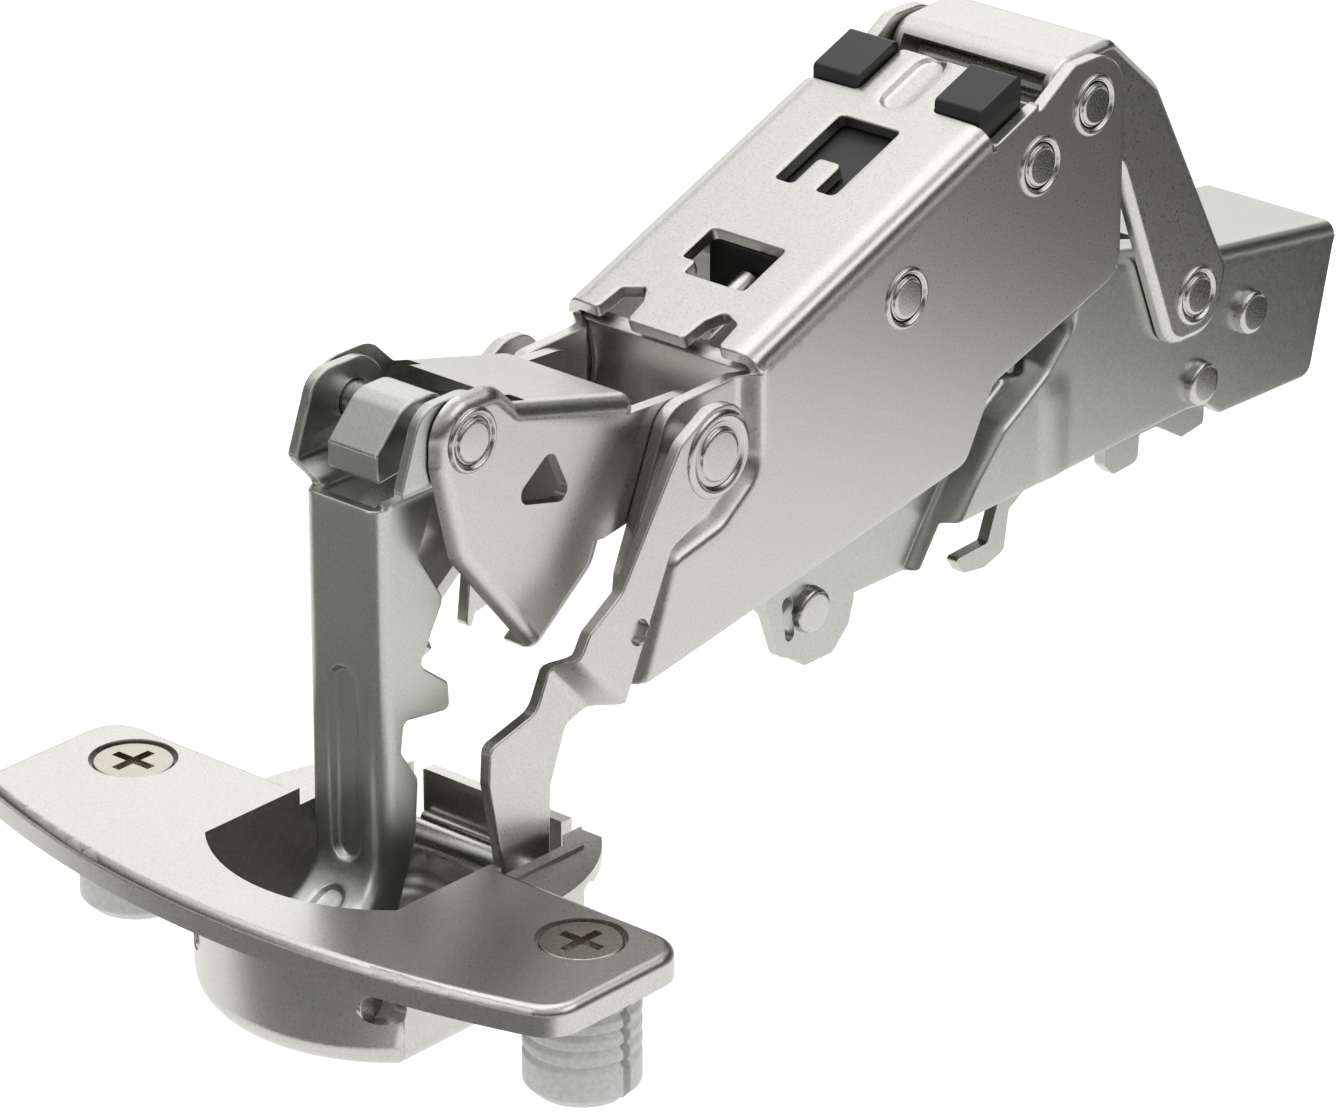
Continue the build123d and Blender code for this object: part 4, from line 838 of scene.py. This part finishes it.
def make_studio():
    """White floor, sky, soft lamps and dark cards round the hinge."""
    bpy.context.scene.view_settings.view_transform = "Standard"
    make_sky()
    floor = panel("floor", (8.0, 8.0), Matrix.Translation((0.0, 0.0, -0.06)), floor_paint("#DADADA", 0.55))
    area_light("overhead", (0.15, 0.25, 1.0), (0.05, 0, 0), (1.3, 0.9), 4.3)
    area_light("far_side", (0.85, 0.75, 0.42), (0.04, 0, 0.02), (1.1, 0.75), 3.2)
    area_light("front_left", (-0.9, 0.25, 0.45), (0.03, 0, 0.02), (0.35, 0.8), 1.2)
    area_light("near_side", (0.4, -0.8, 0.75), (0.05, 0, 0.02), (1.0, 0.45), 2.0)
    # Two cards lie on the floor, and one is mirrored by the rounded fold of the arm.
    dark_card("rear_floor_card", (0.43, -0.16, -0.055), (0.43, -0.16, -1.0), (0.42, 0.7), "#404040")
    dark_card("front_floor_card", (-0.22, 0.05, -0.055), (-0.22, 0.05, -1.0), (0.3, 0.6), "#7C7C7C")
    dark_card("near_side_card", (0.8, -0.42, 0.4), (0.05, 0.0, 0.03), (0.62, 0.34), "#030303")


# Nodes with new surfaces of their own, and the widths of the other solids' broken edges.
OWN_SHAPES = {"arm", "main_link_left", "main_link_right", "base_rail", "front_link", "arm_front_pin",
              "arm_rear_pin", "arm_inner_pin", "arm_rivet", "rear_link_pin", "front_catch_pin",
              "inner_link_pin", "base_rivets", "knee_pin_left", "knee_pin_right"}
EDGES = {"cup": 0.12, "dowel_left": 0.15, "dowel_right": 0.15, "knee_link": 0.2, "rear_link": 0.18,
         "damper_housing": 0.3, "inner_link": 0.15, "front_catch": 0.15, "rear_catch": 0.15,
         "knee_block": 0.3}
OTHER_EDGES = 0.1
# Edges sharper than these angles are broken. The cup's fine faces round its drawn radii stay as they are.
SHARP_ANGLE = 30.0
CUP_SHARP_ANGLE = 60.0

make_pins()
make_arm()
make_front_link()
make_main_links()
make_base()
for node_name in NODES:
    if node_name not in OWN_SHAPES:
        sharp = CUP_SHARP_ANGLE if node_name == "cup" else SHARP_ANGLE
        merged_copy(node_name, EDGES.get(node_name, OTHER_EDGES), sharp)
make_camera()
make_studio()
